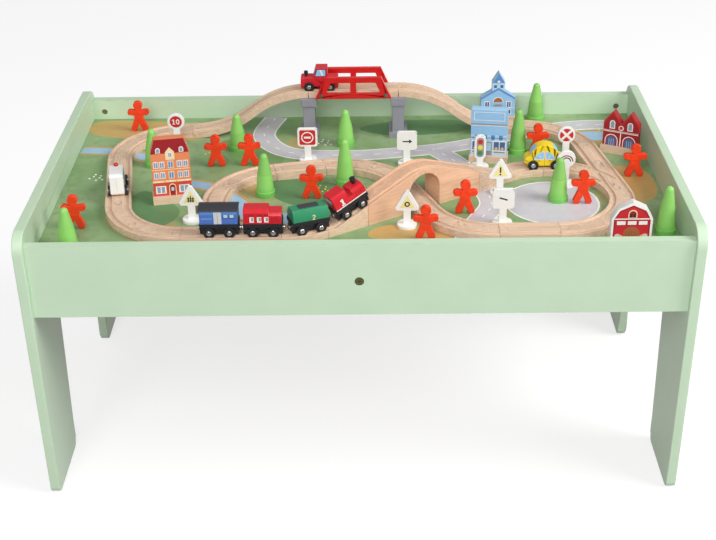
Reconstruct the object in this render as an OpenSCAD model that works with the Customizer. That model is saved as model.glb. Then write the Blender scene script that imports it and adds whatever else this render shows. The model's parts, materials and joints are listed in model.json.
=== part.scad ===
// Train table: a low play table with a wooden railway, vehicles and scenery.
// Origin on the floor at the middle of the table, X to the right, Y to the back, Z up, in mm.

/* [Table] */
// width over both end panels
table_w = 985; // [980:5:1060]
// depth of an end panel
table_d = 576; // [570:2:616]
// height of an end panel
table_h = 458; // [420:2:520]
// thickness of end panels, rails and brace
panel_t = 15; // [14:0.5:16]
// height of the front and back rails
rail_h = 117; // [110:1:136]
// step from the top of an end panel down to the top of a rail
rail_drop = 18; // [8:1:22]
// set-back of a rail's outer face from the panel edge
rail_setback = 8; // [4:0.5:10]
// depth of the play tray below the rail top
tray_depth = 36; // [32:1:44]
// thickness of the play board
board_t = 5; // [4:0.5:8]
// depth of a leg at the floor
leg_foot = 130; // [110:5:150]
// depth of a leg at its root
leg_root = 155; // [140:5:180]
// radius of the top corners of an end panel
corner_r = 30; // [20:1:50]
// radius of the foot corners
foot_r = 12; // [6:1:20]
// radius in the upper corners of the leg gap
gap_r = 30; // [15:1:45]
// width and height of a batten under the board
batten_s = 18; // [14:1:24]
// height of the centre brace
brace_h = 50; // [44:1:60]
// diameter of a frame bolt
bolt_d = 6; // [5:0.5:7]
// diameter of a barrel nut
nut_d = 10; // [9.5:0.5:12]
// distance from a rail end to its barrel nuts
nut_inset = 20; // [18:1:26]
// diameter of a locating dowel
dowel_d = 8; // [6:0.5:8.5]

/* [Track] */
// width of the track
track_w = 40; // [39:0.5:42]
// thickness of the track
track_t = 12; // [11:0.5:14]
// radius of the middle of a curve
curve_r = 110; // [109:0.5:112]
// width of a wheel groove
groove_w = 6.4; // [6.2:0.1:6.8]
// depth of a wheel groove
groove_depth = 3; // [2.5:0.25:3.5]
// distance from the middle of the track to the middle of a groove
groove_y = 13; // [12.5:0.25:13.5]
// length of the straight side of a switch
switch_len = 110; // [108:1:114]
// radius of the round head of a joint peg
peg_r = 5; // [4:0.25:5.5]

/* [Bridges] */
// length of the arch bridge
arch_len = 209; // [205:1:213]
// height of the arch bridge at its ends
arch_end_h = 33; // [30:0.5:36]
// slope of the arch and of its ramps
arch_slope = 21; // [20:0.5:22]
// radius over the crown of the arch
crown_r = 80; // [60:1:100]
// width of the tunnel through the arch
tunnel_w = 56; // [54:1:62]
// length of an arch ramp
arch_ramp_len = 70; // [68:0.5:72]
// length of a rear ramp
rear_ramp_len = 203; // [199:1:207]
// height that a rear ramp climbs
rear_rise = 72; // [66:1:78]
// length of the rear bridge deck
deck_len = 153; // [148:1:158]
// height of a bridge girder
girder_h = 39; // [34:1:44]
// thickness of a bridge girder
girder_t = 6; // [5:0.5:7]

/* [Vehicles] */
// diameter of a wheel
wheel_d = 17; // [16:0.25:18]
// thickness of a wheel
wheel_t = 3.4; // [3:0.1:3.6]
// diameter of an axle
axle_d = 3; // [2.5:0.25:3.5]
// distance between the axles of a wagon or engine
wheelbase = 30; // [28:0.5:31]
// distance between the axles of a car
car_wheelbase = 36; // [32:0.5:36]
// length of a car
car_len = 64; // [58:0.5:66]
// length of a wagon
wagon_len = 58; // [56:0.5:59]
// width of a wagon
vehicle_w = 30; // [28:0.5:32]
// width of a chassis between the wheels
chassis_w = 20; // [18:0.5:21]
// diameter of a coupling magnet
magnet_d = 7; // [6:0.5:8]

/* [Scenery] */
// height of a tree
tree_h = 76; // [66:1:86]
// height of a figure
figure_h = 56; // [50:1:62]
// thickness of a figure
figure_t = 8; // [6:0.5:10]
// height of a sign
sign_h = 60; // [54:1:68]
// thickness of a sign plate
sign_t = 5; // [4:0.5:7]
// thickness of a printed building plate
house_t = 14; // [10:0.5:16]
// width of a building base
base_w = 64; // [60:1:66]
// depth of a building base
base_d = 28; // [24:1:30]
// height of a building base
base_h = 12; // [10:1:14]

/* [Hidden] */
$fn = 64;
// gap between pieces that lie side by side
part_gap = 0.3;
// gap around a piece that fits in a bore or a slot
fit_gap = 0.05;
// gap around a bolt in its clearance hole
bore_gap = 0.25;
// gap under a wheel and beside it on its axle
roll_gap = 0.1;

// Table heights and faces
rail_top = table_h - rail_drop;
rail_z = rail_top - rail_h;
board_z = rail_top - tray_depth;
under_z = board_z - board_t;
inner_w = table_w - 2 * panel_t;
rail_y = table_d / 2 - rail_setback - panel_t;
bolt_edge = 22;
bolt_zs = [rail_top - bolt_edge, rail_z + bolt_edge];
dowel_z = (rail_top + rail_z) / 2;
brace_bolt_z = under_z - brace_h * 0.4;
bolt_head_d = 2.2 * bolt_d;
bolt_head_t = 3;
key_d = 0.6 * bolt_d;
key_depth = bolt_head_t / 2;
bolt_tip = 4;
bolt_reach = nut_inset + nut_d / 2 + bolt_tip;
nut_cover = 1;
nut_len = panel_t - 2 * nut_cover;
dowel_half = panel_t - 3;
dowel_short = 0.5;
screw_d = 3.5;
screw_head_d = 7;
screw_head_t = 2;
screw_len = batten_s + 9;
batten_screw_step = 150;

// Track section and joints
track_z = board_z + track_t;
peg_reach = 8;
peg_neck = 5;
switch_turn = 60;
slope_drop = groove_depth / cos(arch_slope);

// The layout is walked as poses [x, y, heading], piece by piece
function go(p, d) = [p[0] + d * cos(p[2]), p[1] + d * sin(p[2]), p[2]];
function side(p, d) = [p[0] - d * sin(p[2]), p[1] + d * cos(p[2]), p[2]];
function back(p) = [p[0], p[1], p[2] + 180];
function centre_of(p, a) = side(p, sign(a) * curve_r);
function turn(p, a) =
    let (c = centre_of(p, a), h = p[2] + a)
    [c[0] + sign(a) * curve_r * sin(h), c[1] - sign(a) * curve_r * cos(h), h];

// Headings and lengths that the builder of the layout chose
arch_start = [3, -140, 32.5];
left_lean = 8.2;
short_len = 40;
left_len = 172;
inner_heading = 12;
inner_len = 82;
under_heading = -68.5;

// Front and left of the outer loop, from the foot of the left arch ramp
left_foot = go(back(arch_start), arch_ramp_len);
front_switch = turn(left_foot, -arch_start[2]);
front_end = go(front_switch, switch_len);
left_curve = go(front_end, short_len);
left_low = turn(left_curve, left_lean - 90);
left_high = go(left_low, left_len);
rear_left = turn(left_high, -90 - left_lean);

// Rear line: ramp, bridge deck, ramp
deck_start = go(rear_left, rear_ramp_len);
deck_end = go(deck_start, deck_len);
rear_right = go(deck_end, rear_ramp_len);
deck_z = track_z + rear_rise;

// Right loop, from the foot of the right arch ramp
arch_finish = go(arch_start, arch_len);
right_foot = go(arch_finish, arch_ramp_len);
loop_top = turn(right_foot, -arch_start[2]);
loop_centre = centre_of(loop_top, -1);
rear_centre = centre_of(rear_right, -1);
right_heading = atan2(loop_centre[1] - rear_centre[1], loop_centre[0] - rear_centre[0]);
right_len = norm([loop_centre[0] - rear_centre[0], loop_centre[1] - rear_centre[1]]);
right_curve = turn(rear_right, right_heading);
right_switch = back(go(right_curve, right_len));
loop_bottom = [loop_centre[0], loop_centre[1] - curve_r, 0];

// Inner line, from the branch of the front switch, under the arch and to the loop
inner_a = turn(front_switch, -switch_turn);
inner_b = turn(inner_a, inner_heading - inner_a[2]);
inner_c = go(inner_b, inner_len);
inner_d = turn(inner_c, under_heading - inner_heading);
under_len = (inner_d[1] - loop_bottom[1] - curve_r * (1 - cos(under_heading))) / -sin(under_heading);
inner_e = go(inner_d, under_len);
inner_f = turn(inner_e, -under_heading);
inner_last = loop_bottom[0] - inner_f[0];

// Arch profile, with the tunnel where the inner line crosses
crown_s = arch_len / 2 - crown_r * sin(arch_slope);
crown_z = arch_end_h + tan(arch_slope) * crown_s;
arch_top_h = crown_z + crown_r * (1 - cos(arch_slope));
crown_steps = 16;
tunnel_roof = 8;
tunnel_h = arch_top_h - tunnel_roof;
to_inner = [inner_d[0] - arch_start[0], inner_d[1] - arch_start[1]];
tunnel_s = (to_inner[0] * sin(under_heading) - to_inner[1] * cos(under_heading))
    / sin(under_heading - arch_start[2]);
ramp_flat = arch_ramp_len - (arch_end_h - track_t) / tan(arch_slope);

// Rear ramp arcs and bridge
ramp_arc = 2 * atan(rear_rise / rear_ramp_len);
ramp_r = rear_ramp_len / 2 / sin(ramp_arc);
girder_len = deck_len - 23;
girder_top_len = girder_len - 35;
girder_chord = 10;
girder_post = 14;
girder_z = deck_z - track_t + part_gap;
girder_screw_z = 6;
girder_screw_len = girder_t + 4;
girder_y = track_w / 2 + fit_gap + girder_t / 2;
pier_len = 20;
pier_w = track_w + 4;
pier_cap = [26, track_w + 10, 14];
pier_base = [32, track_w + 14, 9];
pier_h = deck_z - track_t - board_z;

// Vehicles
wheel_r = wheel_d / 2;
axle_z = wheel_r - groove_depth + roll_gap;
wheel_headroom = 0.5;
floor_z = axle_z + wheel_r + wheel_headroom;
chassis_low = 2.6;
axle_head_d = 6.4;
axle_head_t = 1.2;
rim_w = 2;
rim_depth = 0.6;
magnet_len = 3;
magnet_z = (chassis_low + floor_z) / 2;
sill_t = 6;
body_z = floor_z + sill_t;
body_len = wagon_len - 2;
body_w = vehicle_w - 1;
wheel_side_gap = 0.5;
car_w = 2 * (groove_y - wheel_t / 2 - wheel_side_gap);

// Places of the vehicles on their track; on a curve the middle of a vehicle cuts inside it
function cut_in(base) = curve_r - sqrt(pow(curve_r, 2) - pow(base / 2, 2));
coupling_gap = 0.5;
wagon_pitch = wagon_len + 2 * magnet_len + coupling_gap;
curve_slack = 3.2;
train_track = [front_switch[0], front_switch[1], 0];
red_s = -26.36;
red_spot = go(train_track, red_s);
blue_spot = go(red_spot, -wagon_pitch);
green_turn = (red_s + wagon_pitch + curve_slack) / curve_r * 180 / PI;
green_spot = side(turn(train_track, green_turn), cut_in(wheelbase));
engine_s = -18;
ambulance_s = 58;
taxi_angle = 89;
taxi_spot = [
    loop_centre[0] + (curve_r - cut_in(car_wheelbase)) * cos(taxi_angle),
    loop_centre[1] + (curve_r - cut_in(car_wheelbase)) * sin(taxi_angle),
    taxi_angle + 90
];
truck_s = 19;

// Loose scenery
round_plate = 29;
square_plate = 33;
triangle_plate = [36, 33];
lamp_plate = [19, 44];
sign_corner = 4;
sign_foot_d = 30;
sign_foot_t = 5;
sign_post_w = 11;
house_w = base_w - 4;
slot_depth = 5;

// Places of the loose scenery on the board
// the third value of a tree is its share of the full height
tree_spots = [
    [-342, 68, 0.86], [-429, -214, 0.86], [-207, 129, 0.84], [-149, -47, 0.94], [-24, 142, 0.85],
    [-23, -7, 1], [311, 242, 0.9], [266, 106, 1], [310, -76, 0.95], [455, -186, 1]
];
figure_spots = [
    [-387, 212], [-237, 62], [-182, 64], [-430, -154], [-75, -60],
    [162, -117], [98, -200], [297, 93], [346, -88], [443, 7]
];
round_signs = [[-312, 145], [341, 72], [328, -22]];
triangle_signs = [[-255, -134], [72, -158], [221, -52]];
square_signs = [[-86, 78], [78, 60], [216, -155]];
lamp_sign = [197, 43];
town_spot = [-293, -62, 10];
school_spot = [243, 238, 0];
shop_spot = [214, 74, -8];
gabled_spot = [438, 102, -25.7];
barn_spot = [396, -218, 0];

// General helpers
module at(p, z = 0) translate([p[0], p[1], z]) rotate(p[2]) children();
module both_x() {
    children();
    mirror([1, 0, 0]) children();
}
module both_y() {
    children();
    mirror([0, 1, 0]) children();
}
module rod_x(d, l) rotate([0, 90, 0]) cylinder(d = d, h = l);
module rod_y(d, l) rotate([-90, 0, 0]) cylinder(d = d, h = l);
// lays a flat outline upright, outline X along X and outline Y along Z, thickness centred on Y
module upright(t) translate([0, t / 2, 0]) rotate([90, 0, 0]) linear_extrude(t) children();
module rounded_rect(w, h, r) {
    translate([-w / 2, r]) square([w, h - 2 * r]);
    translate([r - w / 2, 0]) square([w - 2 * r, h]);
    for (x = [r - w / 2, w / 2 - r], y = [r, h - r]) translate([x, y]) circle(r);
}

// Table
module corner_nick(r) difference() {
    translate([-1, -1]) square(r + 1);
    translate([r, r]) circle(r);
}
module end_outline() {
    half = table_d / 2;
    root = half - leg_root;
    foot = half - leg_foot;
    gap_h = rail_z - gap_r;
    slant = (foot - root) * gap_r / rail_z;
    difference() {
        translate([-half, 0]) square([table_d, table_h]);
        polygon([[-foot, -1], [foot, -1], [root + slant, gap_h], [-root - slant, gap_h]]);
        translate([gap_r - root - slant, gap_h - 1]) square([2 * (root + slant - gap_r), gap_r + 1]);
        for (m = [0, 1]) mirror([m, 0]) {
            translate([root + slant - gap_r, gap_h]) circle(gap_r);
            translate([half, table_h]) rotate(180) corner_nick(corner_r);
            translate([half, 0]) rotate(90) corner_nick(foot_r);
            translate([foot, 0]) corner_nick(foot_r);
        }
    }
}
// places of the fasteners at one end of the table, each at the end of a rail
module at_rail_ends(zs) for (m = [0, 1], z = zs) mirror([0, m, 0]) {
    translate([inner_w / 2, rail_y + panel_t / 2, z]) children();
}
module end_panel() difference() {
    translate([inner_w / 2, 0, 0]) rotate([90, 0, 90]) linear_extrude(panel_t) end_outline();
    at_rail_ends(bolt_zs) translate([-1, 0, 0]) rod_x(bolt_d + 2 * bore_gap, panel_t + 2);
    at_rail_ends(bolt_zs) translate([panel_t - bolt_head_t, 0, 0])
        rod_x(bolt_head_d + 2 * bore_gap, bolt_head_t + 1);
    at_rail_ends([dowel_z]) translate([-1, 0, 0]) rod_x(dowel_d + 2 * fit_gap, dowel_half + 1);
}
module rail() difference() {
    translate([-inner_w / 2, rail_y, rail_z]) cube([inner_w, panel_t, rail_h]);
    both_x() translate([inner_w / 2, rail_y + panel_t / 2, 0]) {
        for (z = bolt_zs) translate([-bolt_reach - 1, 0, z]) rod_x(bolt_d + 2 * bore_gap, bolt_reach + 2);
        for (z = bolt_zs) translate([-nut_inset, -panel_t / 2 - 1, z])
            rod_y(nut_d + 2 * fit_gap, panel_t / 2 + 1 + nut_len / 2);
        translate([-dowel_half, 0, dowel_z]) rod_x(dowel_d + 2 * fit_gap, dowel_half + 1);
    }
    translate([0, rail_y - 1, brace_bolt_z]) rod_y(bolt_d + 2 * bore_gap, panel_t + 2);
    translate([0, rail_y + panel_t - bolt_head_t, brace_bolt_z])
        rod_y(bolt_head_d + 2 * bore_gap, bolt_head_t + 1);
    at_batten_screws() screw_hole(screw_len);
}
module left_end_panel() color("#c5dbc0") mirror([1, 0, 0]) end_panel();
module right_end_panel() color("#c5dbc0") end_panel();
module front_rail() color("#c5dbc0") mirror([0, 1, 0]) rail();
module back_rail() color("#c5dbc0") rail();
module play_board() color("#9db877")
    translate([part_gap - inner_w / 2, part_gap - rail_y, under_z])
        cube([inner_w - 2 * part_gap, 2 * (rail_y - part_gap), board_t]);
module board_battens() color("#d8c39f") {
    long = inner_w / 2 - panel_t / 2 - 2 * part_gap;
    short = 2 * (rail_y - batten_s - part_gap);
    difference() {
        both_x() both_y() translate([panel_t / 2 + part_gap, rail_y - batten_s, under_z - batten_s])
            cube([long, batten_s, batten_s]);
        at_batten_screws() screw_hole(screw_len);
    }
    both_x() translate([inner_w / 2 - batten_s, -short / 2, under_z - batten_s])
        cube([batten_s, short, batten_s]);
}
module centre_brace() color("#d8c39f") difference() {
    translate([-panel_t / 2, -rail_y, under_z - brace_h]) cube([panel_t, 2 * rail_y, brace_h]);
    both_y() translate([0, rail_y - bolt_reach - 1, brace_bolt_z])
        rod_y(bolt_d + 2 * bore_gap, bolt_reach + 2);
    both_y() translate([-panel_t / 2 - 1, rail_y - nut_inset, brace_bolt_z])
        rod_x(nut_d + 2 * fit_gap, panel_t / 2 + 1 + nut_len / 2);
}
// a bolt along X with its head's seat at the origin and its shank towards -X
module frame_bolt(grip) {
    difference() {
        rod_x(bolt_head_d, bolt_head_t);
        translate([bolt_head_t - key_depth, 0, 0]) rod_x(key_d, key_depth + 1, $fn = 6);
    }
    translate([-grip - bolt_reach, 0, 0]) rod_x(bolt_d, grip + bolt_reach + key_depth / 2);
}
module frame_bolts() color("#77786f") {
    grip = panel_t - bolt_head_t;
    both_x() at_rail_ends(bolt_zs) translate([grip, 0, 0]) frame_bolt(grip);
    both_y() translate([0, rail_y + grip, brace_bolt_z]) rotate(90) frame_bolt(grip);
}
// a barrel nut along Y with the bolt's thread across it along X
module barrel_nut() difference() {
    translate([0, -nut_len / 2, 0]) rod_y(nut_d, nut_len);
    translate([-nut_d, 0, 0]) rod_x(bolt_d + 2 * fit_gap, 2 * nut_d);
}
module barrel_nuts() color("#5b5c55") {
    both_x() at_rail_ends(bolt_zs) translate([-nut_inset, 0, 0]) barrel_nut();
    both_y() translate([0, rail_y - nut_inset, brace_bolt_z]) rotate(90) barrel_nut();
}
module locating_dowels() color("#d8b98c")
    both_x() at_rail_ends([dowel_z]) translate([dowel_short - dowel_half, 0, 0])
        rod_x(dowel_d, 2 * (dowel_half - dowel_short));
// a screw driven along +Y with the underside of its head at the origin
module wood_screw(l) {
    translate([0, -screw_head_t, 0]) rod_y(screw_head_d, screw_head_t);
    translate([0, -screw_head_t / 2, 0]) rod_y(screw_d, l + screw_head_t / 2);
}
module screw_hole(l) translate([0, -1, 0]) rod_y(screw_d + 2 * fit_gap, l + 2);
module at_batten_screws() both_y()
    for (x = [batten_screw_step / 2 : batten_screw_step : inner_w / 2 - batten_s], m = [0, 1])
        mirror([m, 0, 0]) translate([x, rail_y - batten_s, under_z - batten_s / 2]) children();
module at_girder_screws() at(go(deck_start, deck_len / 2), girder_z + girder_screw_z)
    both_y() for (s = [-1, 1])
        translate([s * (girder_len / 2 - girder_chord), -girder_y - girder_t / 2, 0]) children();
module wood_screws() color("#8f8f88") {
    at_batten_screws() wood_screw(screw_len);
    at_girder_screws() wood_screw(girder_screw_len);
}

// Track pieces lie along +X from the origin with their underside at 0
module track_block() translate([-track_w / 2, 0]) square([track_w, track_t]);
module track_grooves() for (s = [-1, 1])
    translate([s * groove_y - groove_w / 2, track_t - groove_depth]) square([groove_w, groove_depth + 1]);
module run_straight(l) rotate([90, 0, 90]) linear_extrude(l) children();
module run_curve(a) mirror([0, a < 0 ? 1 : 0, 0])
    translate([0, curve_r, 0]) rotate(-90) rotate_extrude(angle = abs(a)) translate([curve_r, 0]) children();
module peg() {
    translate([-part_gap, -peg_neck / 2, 0]) cube([peg_reach + part_gap, peg_neck, track_t]);
    translate([peg_reach, 0, 0]) cylinder(r = peg_r, h = track_t);
}
module socket() translate([-1, 0, -1]) {
    translate([0, -peg_neck / 2 - part_gap, 0]) cube([peg_reach + 1, peg_neck + 2 * part_gap, track_t + 2]);
    translate([peg_reach + 1, 0, 0]) cylinder(r = peg_r + part_gap, h = track_t + 2);
}
module end_trim() translate([-1, -track_w, -1]) cube([1 + part_gap / 2, 2 * track_w, track_t + 2]);
module track_start() {
    end_trim();
    socket();
}
module straight_piece(l) {
    difference() {
        run_straight(l) track_block();
        translate([-1, 0, 0]) run_straight(l + 2) track_grooves();
        track_start();
        translate([l, 0, 0]) mirror([1, 0, 0]) end_trim();
    }
    translate([l, 0, 0]) peg();
}
module curve_piece(a) {
    finish = turn([0, 0, 0], a);
    difference() {
        run_curve(a) track_block();
        run_curve(a) track_grooves();
        track_start();
        at(finish) mirror([1, 0, 0]) end_trim();
    }
    at(finish) peg();
}
// one curve laid as equal pieces from a pose
module curve_run(p, a, n) for (i = [0 : n - 1]) at(turn(p, a * i / n), board_z) curve_piece(a / n);
module switch_piece(a, legs_have_pegs) {
    straight_end = [switch_len, 0, 0];
    branch_end = turn([0, 0, 0], a);
    difference() {
        union() {
            run_straight(switch_len) track_block();
            run_curve(a) track_block();
        }
        translate([-1, 0, 0]) run_straight(switch_len + 2) track_grooves();
        run_curve(a) track_grooves();
        track_start();
        for (e = [straight_end, branch_end]) at(e) mirror([1, 0, 0]) end_trim();
        if (!legs_have_pegs) for (e = [straight_end, branch_end]) at(e) mirror([1, 0, 0]) socket();
    }
    if (legs_have_pegs) for (e = [straight_end, branch_end]) at(e) peg();
}
module straight_tracks() color("#ddbb9a") {
    at(front_end, board_z) straight_piece(short_len);
    for (i = [0, 1]) at(go(left_low, i * left_len / 2), board_z) straight_piece(left_len / 2);
    at(right_curve, board_z) straight_piece(right_len - switch_len);
    at(inner_b, board_z) straight_piece(inner_len);
    at(inner_d, board_z) straight_piece(under_len);
    at(inner_f, board_z) straight_piece(inner_last);
}
module curved_tracks() color("#ddbb9a") {
    curve_run(left_foot, -arch_start[2], 1);
    curve_run(left_curve, left_lean - 90, 2);
    curve_run(left_high, -90 - left_lean, 2);
    curve_run(rear_right, right_heading, 2);
    curve_run(right_foot, -arch_start[2], 1);
    curve_run(loop_top, switch_turn + right_switch[2] - 180, 1);
    curve_run(loop_bottom, right_switch[2], 2);
    curve_run(inner_a, inner_heading - inner_a[2], 2);
    curve_run(inner_c, under_heading - inner_heading, 2);
    curve_run(inner_e, -under_heading, 2);
}
module switch_tracks() color("#ddbb9a") {
    at(front_switch, board_z) switch_piece(-switch_turn, true);
    at(right_switch, board_z) switch_piece(switch_turn, false);
}

// Arch bridge and its ramps
// points over the crown, from where the left slope meets it to where the right slope does
function crown_points() = [
    for (i = [0 : crown_steps]) let (a = arch_slope * (1 - 2 * i / crown_steps))
        [arch_len / 2 - crown_r * sin(a), arch_top_h - crown_r * (1 - cos(a))]
];
module arch_face(drop) translate([0, -drop]) polygon(concat(
    [[0, -1], [0, arch_end_h]], crown_points(), [[arch_len, arch_end_h], [arch_len, -1]]
));
module ramp_face(drop) polygon([
    [0, -1], [arch_ramp_len + 1, -1], [arch_ramp_len + 1, arch_end_h + tan(arch_slope) - drop],
    [ramp_flat, track_t - drop], [0, track_t - drop]
]);
// a block under a side outline with wheel grooves sunk into its upper edge
module grooved_block(l) difference() {
    intersection() {
        upright(track_w) children(0);
        translate([part_gap / 2, -track_w, 0]) cube([l - part_gap, 2 * track_w, 2 * l]);
    }
    for (s = [-1, 1]) translate([0, s * groove_y, 0]) difference() {
        translate([-1, -groove_w / 2, 0]) cube([l + 2, groove_w, 2 * l]);
        upright(2 * groove_w) children(1);
    }
}
module arch_bridge() color("#e0c09e") at(arch_start, board_z) difference() {
    grooved_block(arch_len) {
        arch_face(0);
        arch_face(slope_drop);
    }
    tunnel_r = tunnel_w / 2;
    spring_h = tunnel_h - tunnel_r;
    translate([tunnel_s - tunnel_r, -track_w, -1]) cube([tunnel_w, 2 * track_w, spring_h + 1]);
    translate([tunnel_s, -track_w, spring_h]) rod_y(tunnel_w, 2 * track_w);
}
module arch_ramp() {
    grooved_block(arch_ramp_len) {
        ramp_face(0);
        ramp_face(slope_drop);
    }
    mirror([1, 0, 0]) peg();
}

// Rear ramps: one arc of track bends up and a second one levels out, met on the line square to both
module ring(outer, inner) difference() {
    circle(outer, $fn = 180);
    circle(inner, $fn = 180);
}
module rear_face(drop) translate([0, -drop]) {
    square_off = 2 * track_t * [-sin(ramp_arc), cos(ramp_arc)];
    middle = [rear_ramp_len / 2, track_t + rear_rise / 2];
    over = middle + square_off;
    under = middle - square_off;
    intersection() {
        translate([0, track_t + ramp_r]) ring(ramp_r + track_t, ramp_r);
        polygon([[0, -track_t], [under[0], -track_t], under, over, [0, over[1]]]);
    }
    intersection() {
        translate([rear_ramp_len, track_t + rear_rise - ramp_r]) ring(ramp_r, ramp_r - track_t);
        polygon([
            under, [rear_ramp_len, under[1]], [rear_ramp_len, 2 * rear_rise], [over[0], 2 * rear_rise], over
        ]);
    }
}
module rear_ramp(foot_has_peg) {
    top_end = [rear_ramp_len, 0, rear_rise];
    difference() {
        grooved_block(rear_ramp_len) {
            rear_face(0);
            rear_face(groove_depth);
        }
        if (foot_has_peg) translate(top_end) mirror([1, 0, 0]) socket();
        if (!foot_has_peg) socket();
        pier_seat();
    }
    if (foot_has_peg) mirror([1, 0, 0]) peg();
    if (!foot_has_peg) translate(top_end) peg();
}
// the flat cut by which the top of a ramp rests on its pier
module pier_seat() translate([rear_ramp_len - pier_cap[0] / 2 - part_gap, -track_w, 0])
    cube([pier_cap[0], 2 * track_w, rear_rise]);
module track_ramps() color("#ddbb9a") {
    at(back(left_foot), board_z) arch_ramp();
    at(back(right_foot), board_z) arch_ramp();
    at(rear_left, board_z) rear_ramp(false);
    at(back(rear_right), board_z) rear_ramp(true);
}

// Girder bridge at the back
module bridge_deck() color("#ddbb9a") difference() {
    at(deck_start, deck_z - track_t) straight_piece(deck_len);
    at_girder_screws() screw_hole(girder_screw_len);
}
module girder_outline() {
    low = girder_len / 2;
    high = girder_top_len / 2;
    window_top = girder_h - girder_chord;
    lean = (low - high) / girder_h;
    difference() {
        polygon([[-low, 0], [low, 0], [high, girder_h], [-high, girder_h]]);
        for (m = [0, 1]) mirror([m, 0]) polygon([
            [girder_chord / 2, girder_chord], [low - lean * girder_chord - girder_post, girder_chord],
            [low - lean * window_top - girder_post, window_top], [girder_chord / 2, window_top]
        ]);
    }
}
module bridge_girders() color("#d01518") difference() {
    at(deck_start, girder_z) both_y()
        translate([deck_len / 2, -girder_y, 0]) upright(girder_t) girder_outline();
    at_girder_screws() screw_hole(girder_screw_len);
}
module pier() {
    translate([-pier_len / 2, -pier_w / 2, 0]) cube([pier_len, pier_w, pier_h]);
    translate([-pier_base[0] / 2, -pier_base[1] / 2, 0]) cube(pier_base);
    translate([-pier_cap[0] / 2, -pier_cap[1] / 2, pier_h - pier_cap[2]]) cube(pier_cap);
}
module bridge_piers() color("#8c8c96") for (p = [deck_start, deck_end]) at(p, board_z) pier();

// Trees, figures and signs
module tree(h) {
    skirt_r = 15.5;
    skirt_h = 8;
    low_r = 14;
    waist_r = 11.5;
    waist_h = h * 0.52;
    tip_r = 6;
    rotate_extrude() {
        polygon([
            [0, 0], [skirt_r, 0], [skirt_r, skirt_h], [low_r, skirt_h + 1],
            [waist_r, waist_h], [tip_r, h - tip_r], [0, h - tip_r]
        ]);
        intersection() {
            translate([0, h - tip_r]) circle(tip_r);
            square([tip_r, h]);
        }
    }
}
module trees() color("#86d06a") for (p = tree_spots)
    translate([p[0], p[1], board_z]) tree(tree_h * p[2]);
// a limb with a round end, from a joint out to its tip
module limb(from, reach, angle, w) translate(from) rotate(angle) {
    translate([0, -w / 2]) square([reach, w]);
    translate([reach, 0]) circle(d = w);
    circle(d = w);
}
module figure_outline() {
    head_d = figure_h * 0.28;
    trunk = figure_h * 0.28;
    limb_w = figure_h * 0.185;
    neck_w = figure_h * 0.16;
    shoulder = figure_h - head_d - limb_w / 2 - 1;
    hip = figure_h * 0.36;
    arm_angle = 8;
    leg_angle = 68;
    leg_reach = (hip - limb_w / 2) / sin(leg_angle);
    translate([0, figure_h - head_d / 2]) circle(d = head_d);
    translate([-neck_w / 2, shoulder]) square([neck_w, head_d]);
    translate([-trunk / 2, hip - limb_w / 3]) square([trunk, shoulder - hip + limb_w / 2]);
    for (m = [0, 1]) mirror([m, 0]) {
        limb([limb_w / 3, shoulder], limb_w, arm_angle, limb_w);
        limb([limb_w / 3, hip], leg_reach, -leg_angle, limb_w);
    }
}
module figures() color("#f0441c") for (p = figure_spots) translate([p[0], p[1], board_z])
    upright(figure_t) figure_outline();
module sign_post(plate_h) {
    cylinder(d = sign_foot_d, h = sign_foot_t);
    upright(sign_t) {
        translate([-sign_post_w / 2, 1]) square([sign_post_w, sign_h - plate_h / 2]);
        translate([0, sign_h - plate_h]) children();
    }
}
module rounded_triangle(w, h, r) {
    half = w / 2 - r;
    top = h - 2 * r;
    lean = atan2(top, half);
    out = r * [sin(lean), cos(lean)];
    translate([0, r]) {
        polygon([
            [-half, -r], [half, -r], [half + out[0], out[1]], [out[0], top + out[1]],
            [-out[0], top + out[1]], [-half - out[0], out[1]]
        ]);
        for (c = [[-half, 0], [half, 0], [0, top]]) translate(c) circle(r);
    }
}
module signs() color("#f4f4f2") {
    for (p = round_signs) translate([p[0], p[1], board_z]) sign_post(round_plate)
        translate([0, round_plate / 2]) circle(d = round_plate);
    for (p = triangle_signs) translate([p[0], p[1], board_z]) sign_post(triangle_plate[1])
        rounded_triangle(triangle_plate[0], triangle_plate[1], sign_corner);
    for (p = square_signs) translate([p[0], p[1], board_z]) sign_post(square_plate)
        rounded_rect(square_plate, square_plate, sign_corner);
    translate([lamp_sign[0], lamp_sign[1], board_z]) sign_post(lamp_plate[1])
        rounded_rect(lamp_plate[0], lamp_plate[1], lamp_plate[0] * 0.47);
}

// Printed buildings: a thick plate in the slot of a wooden base
module building(p) at(p, board_z) {
    difference() {
        translate([-base_w / 2, -base_d / 2, 0]) cube([base_w, base_d, base_h]);
        translate([-house_w / 2 - fit_gap, -house_t / 2 - fit_gap, base_h - slot_depth])
            cube([house_w + 2 * fit_gap, house_t + 2 * fit_gap, slot_depth + 1]);
    }
    translate([0, 0, base_h - slot_depth + fit_gap]) upright(house_t) children();
}
module mansard_outline(w, wall, roof, ridge) polygon([
    [-w / 2, 0], [w / 2, 0], [w / 2, wall],
    [ridge / 2, wall + roof], [-ridge / 2, wall + roof], [-w / 2, wall]
]);
module gable_outline(w, wall, roof) polygon([
    [-w / 2, 0], [w / 2, 0], [w / 2, wall], [0, wall + roof], [-w / 2, wall]
]);
module town_house() color("#e8875a") building(town_spot)
    mansard_outline(w = house_w, wall = 77, roof = 24, ridge = house_w * 0.77);
module school() color("#8fbbe0") building(school_spot) {
    gable_outline(w = house_w, wall = 40, roof = 18);
    gable_outline(w = house_w * 0.37, wall = 68, roof = 18);
}
module shop() color("#8fc0e6") building(shop_spot)
    rounded_rect(w = house_w, h = 86, r = 1);
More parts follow.
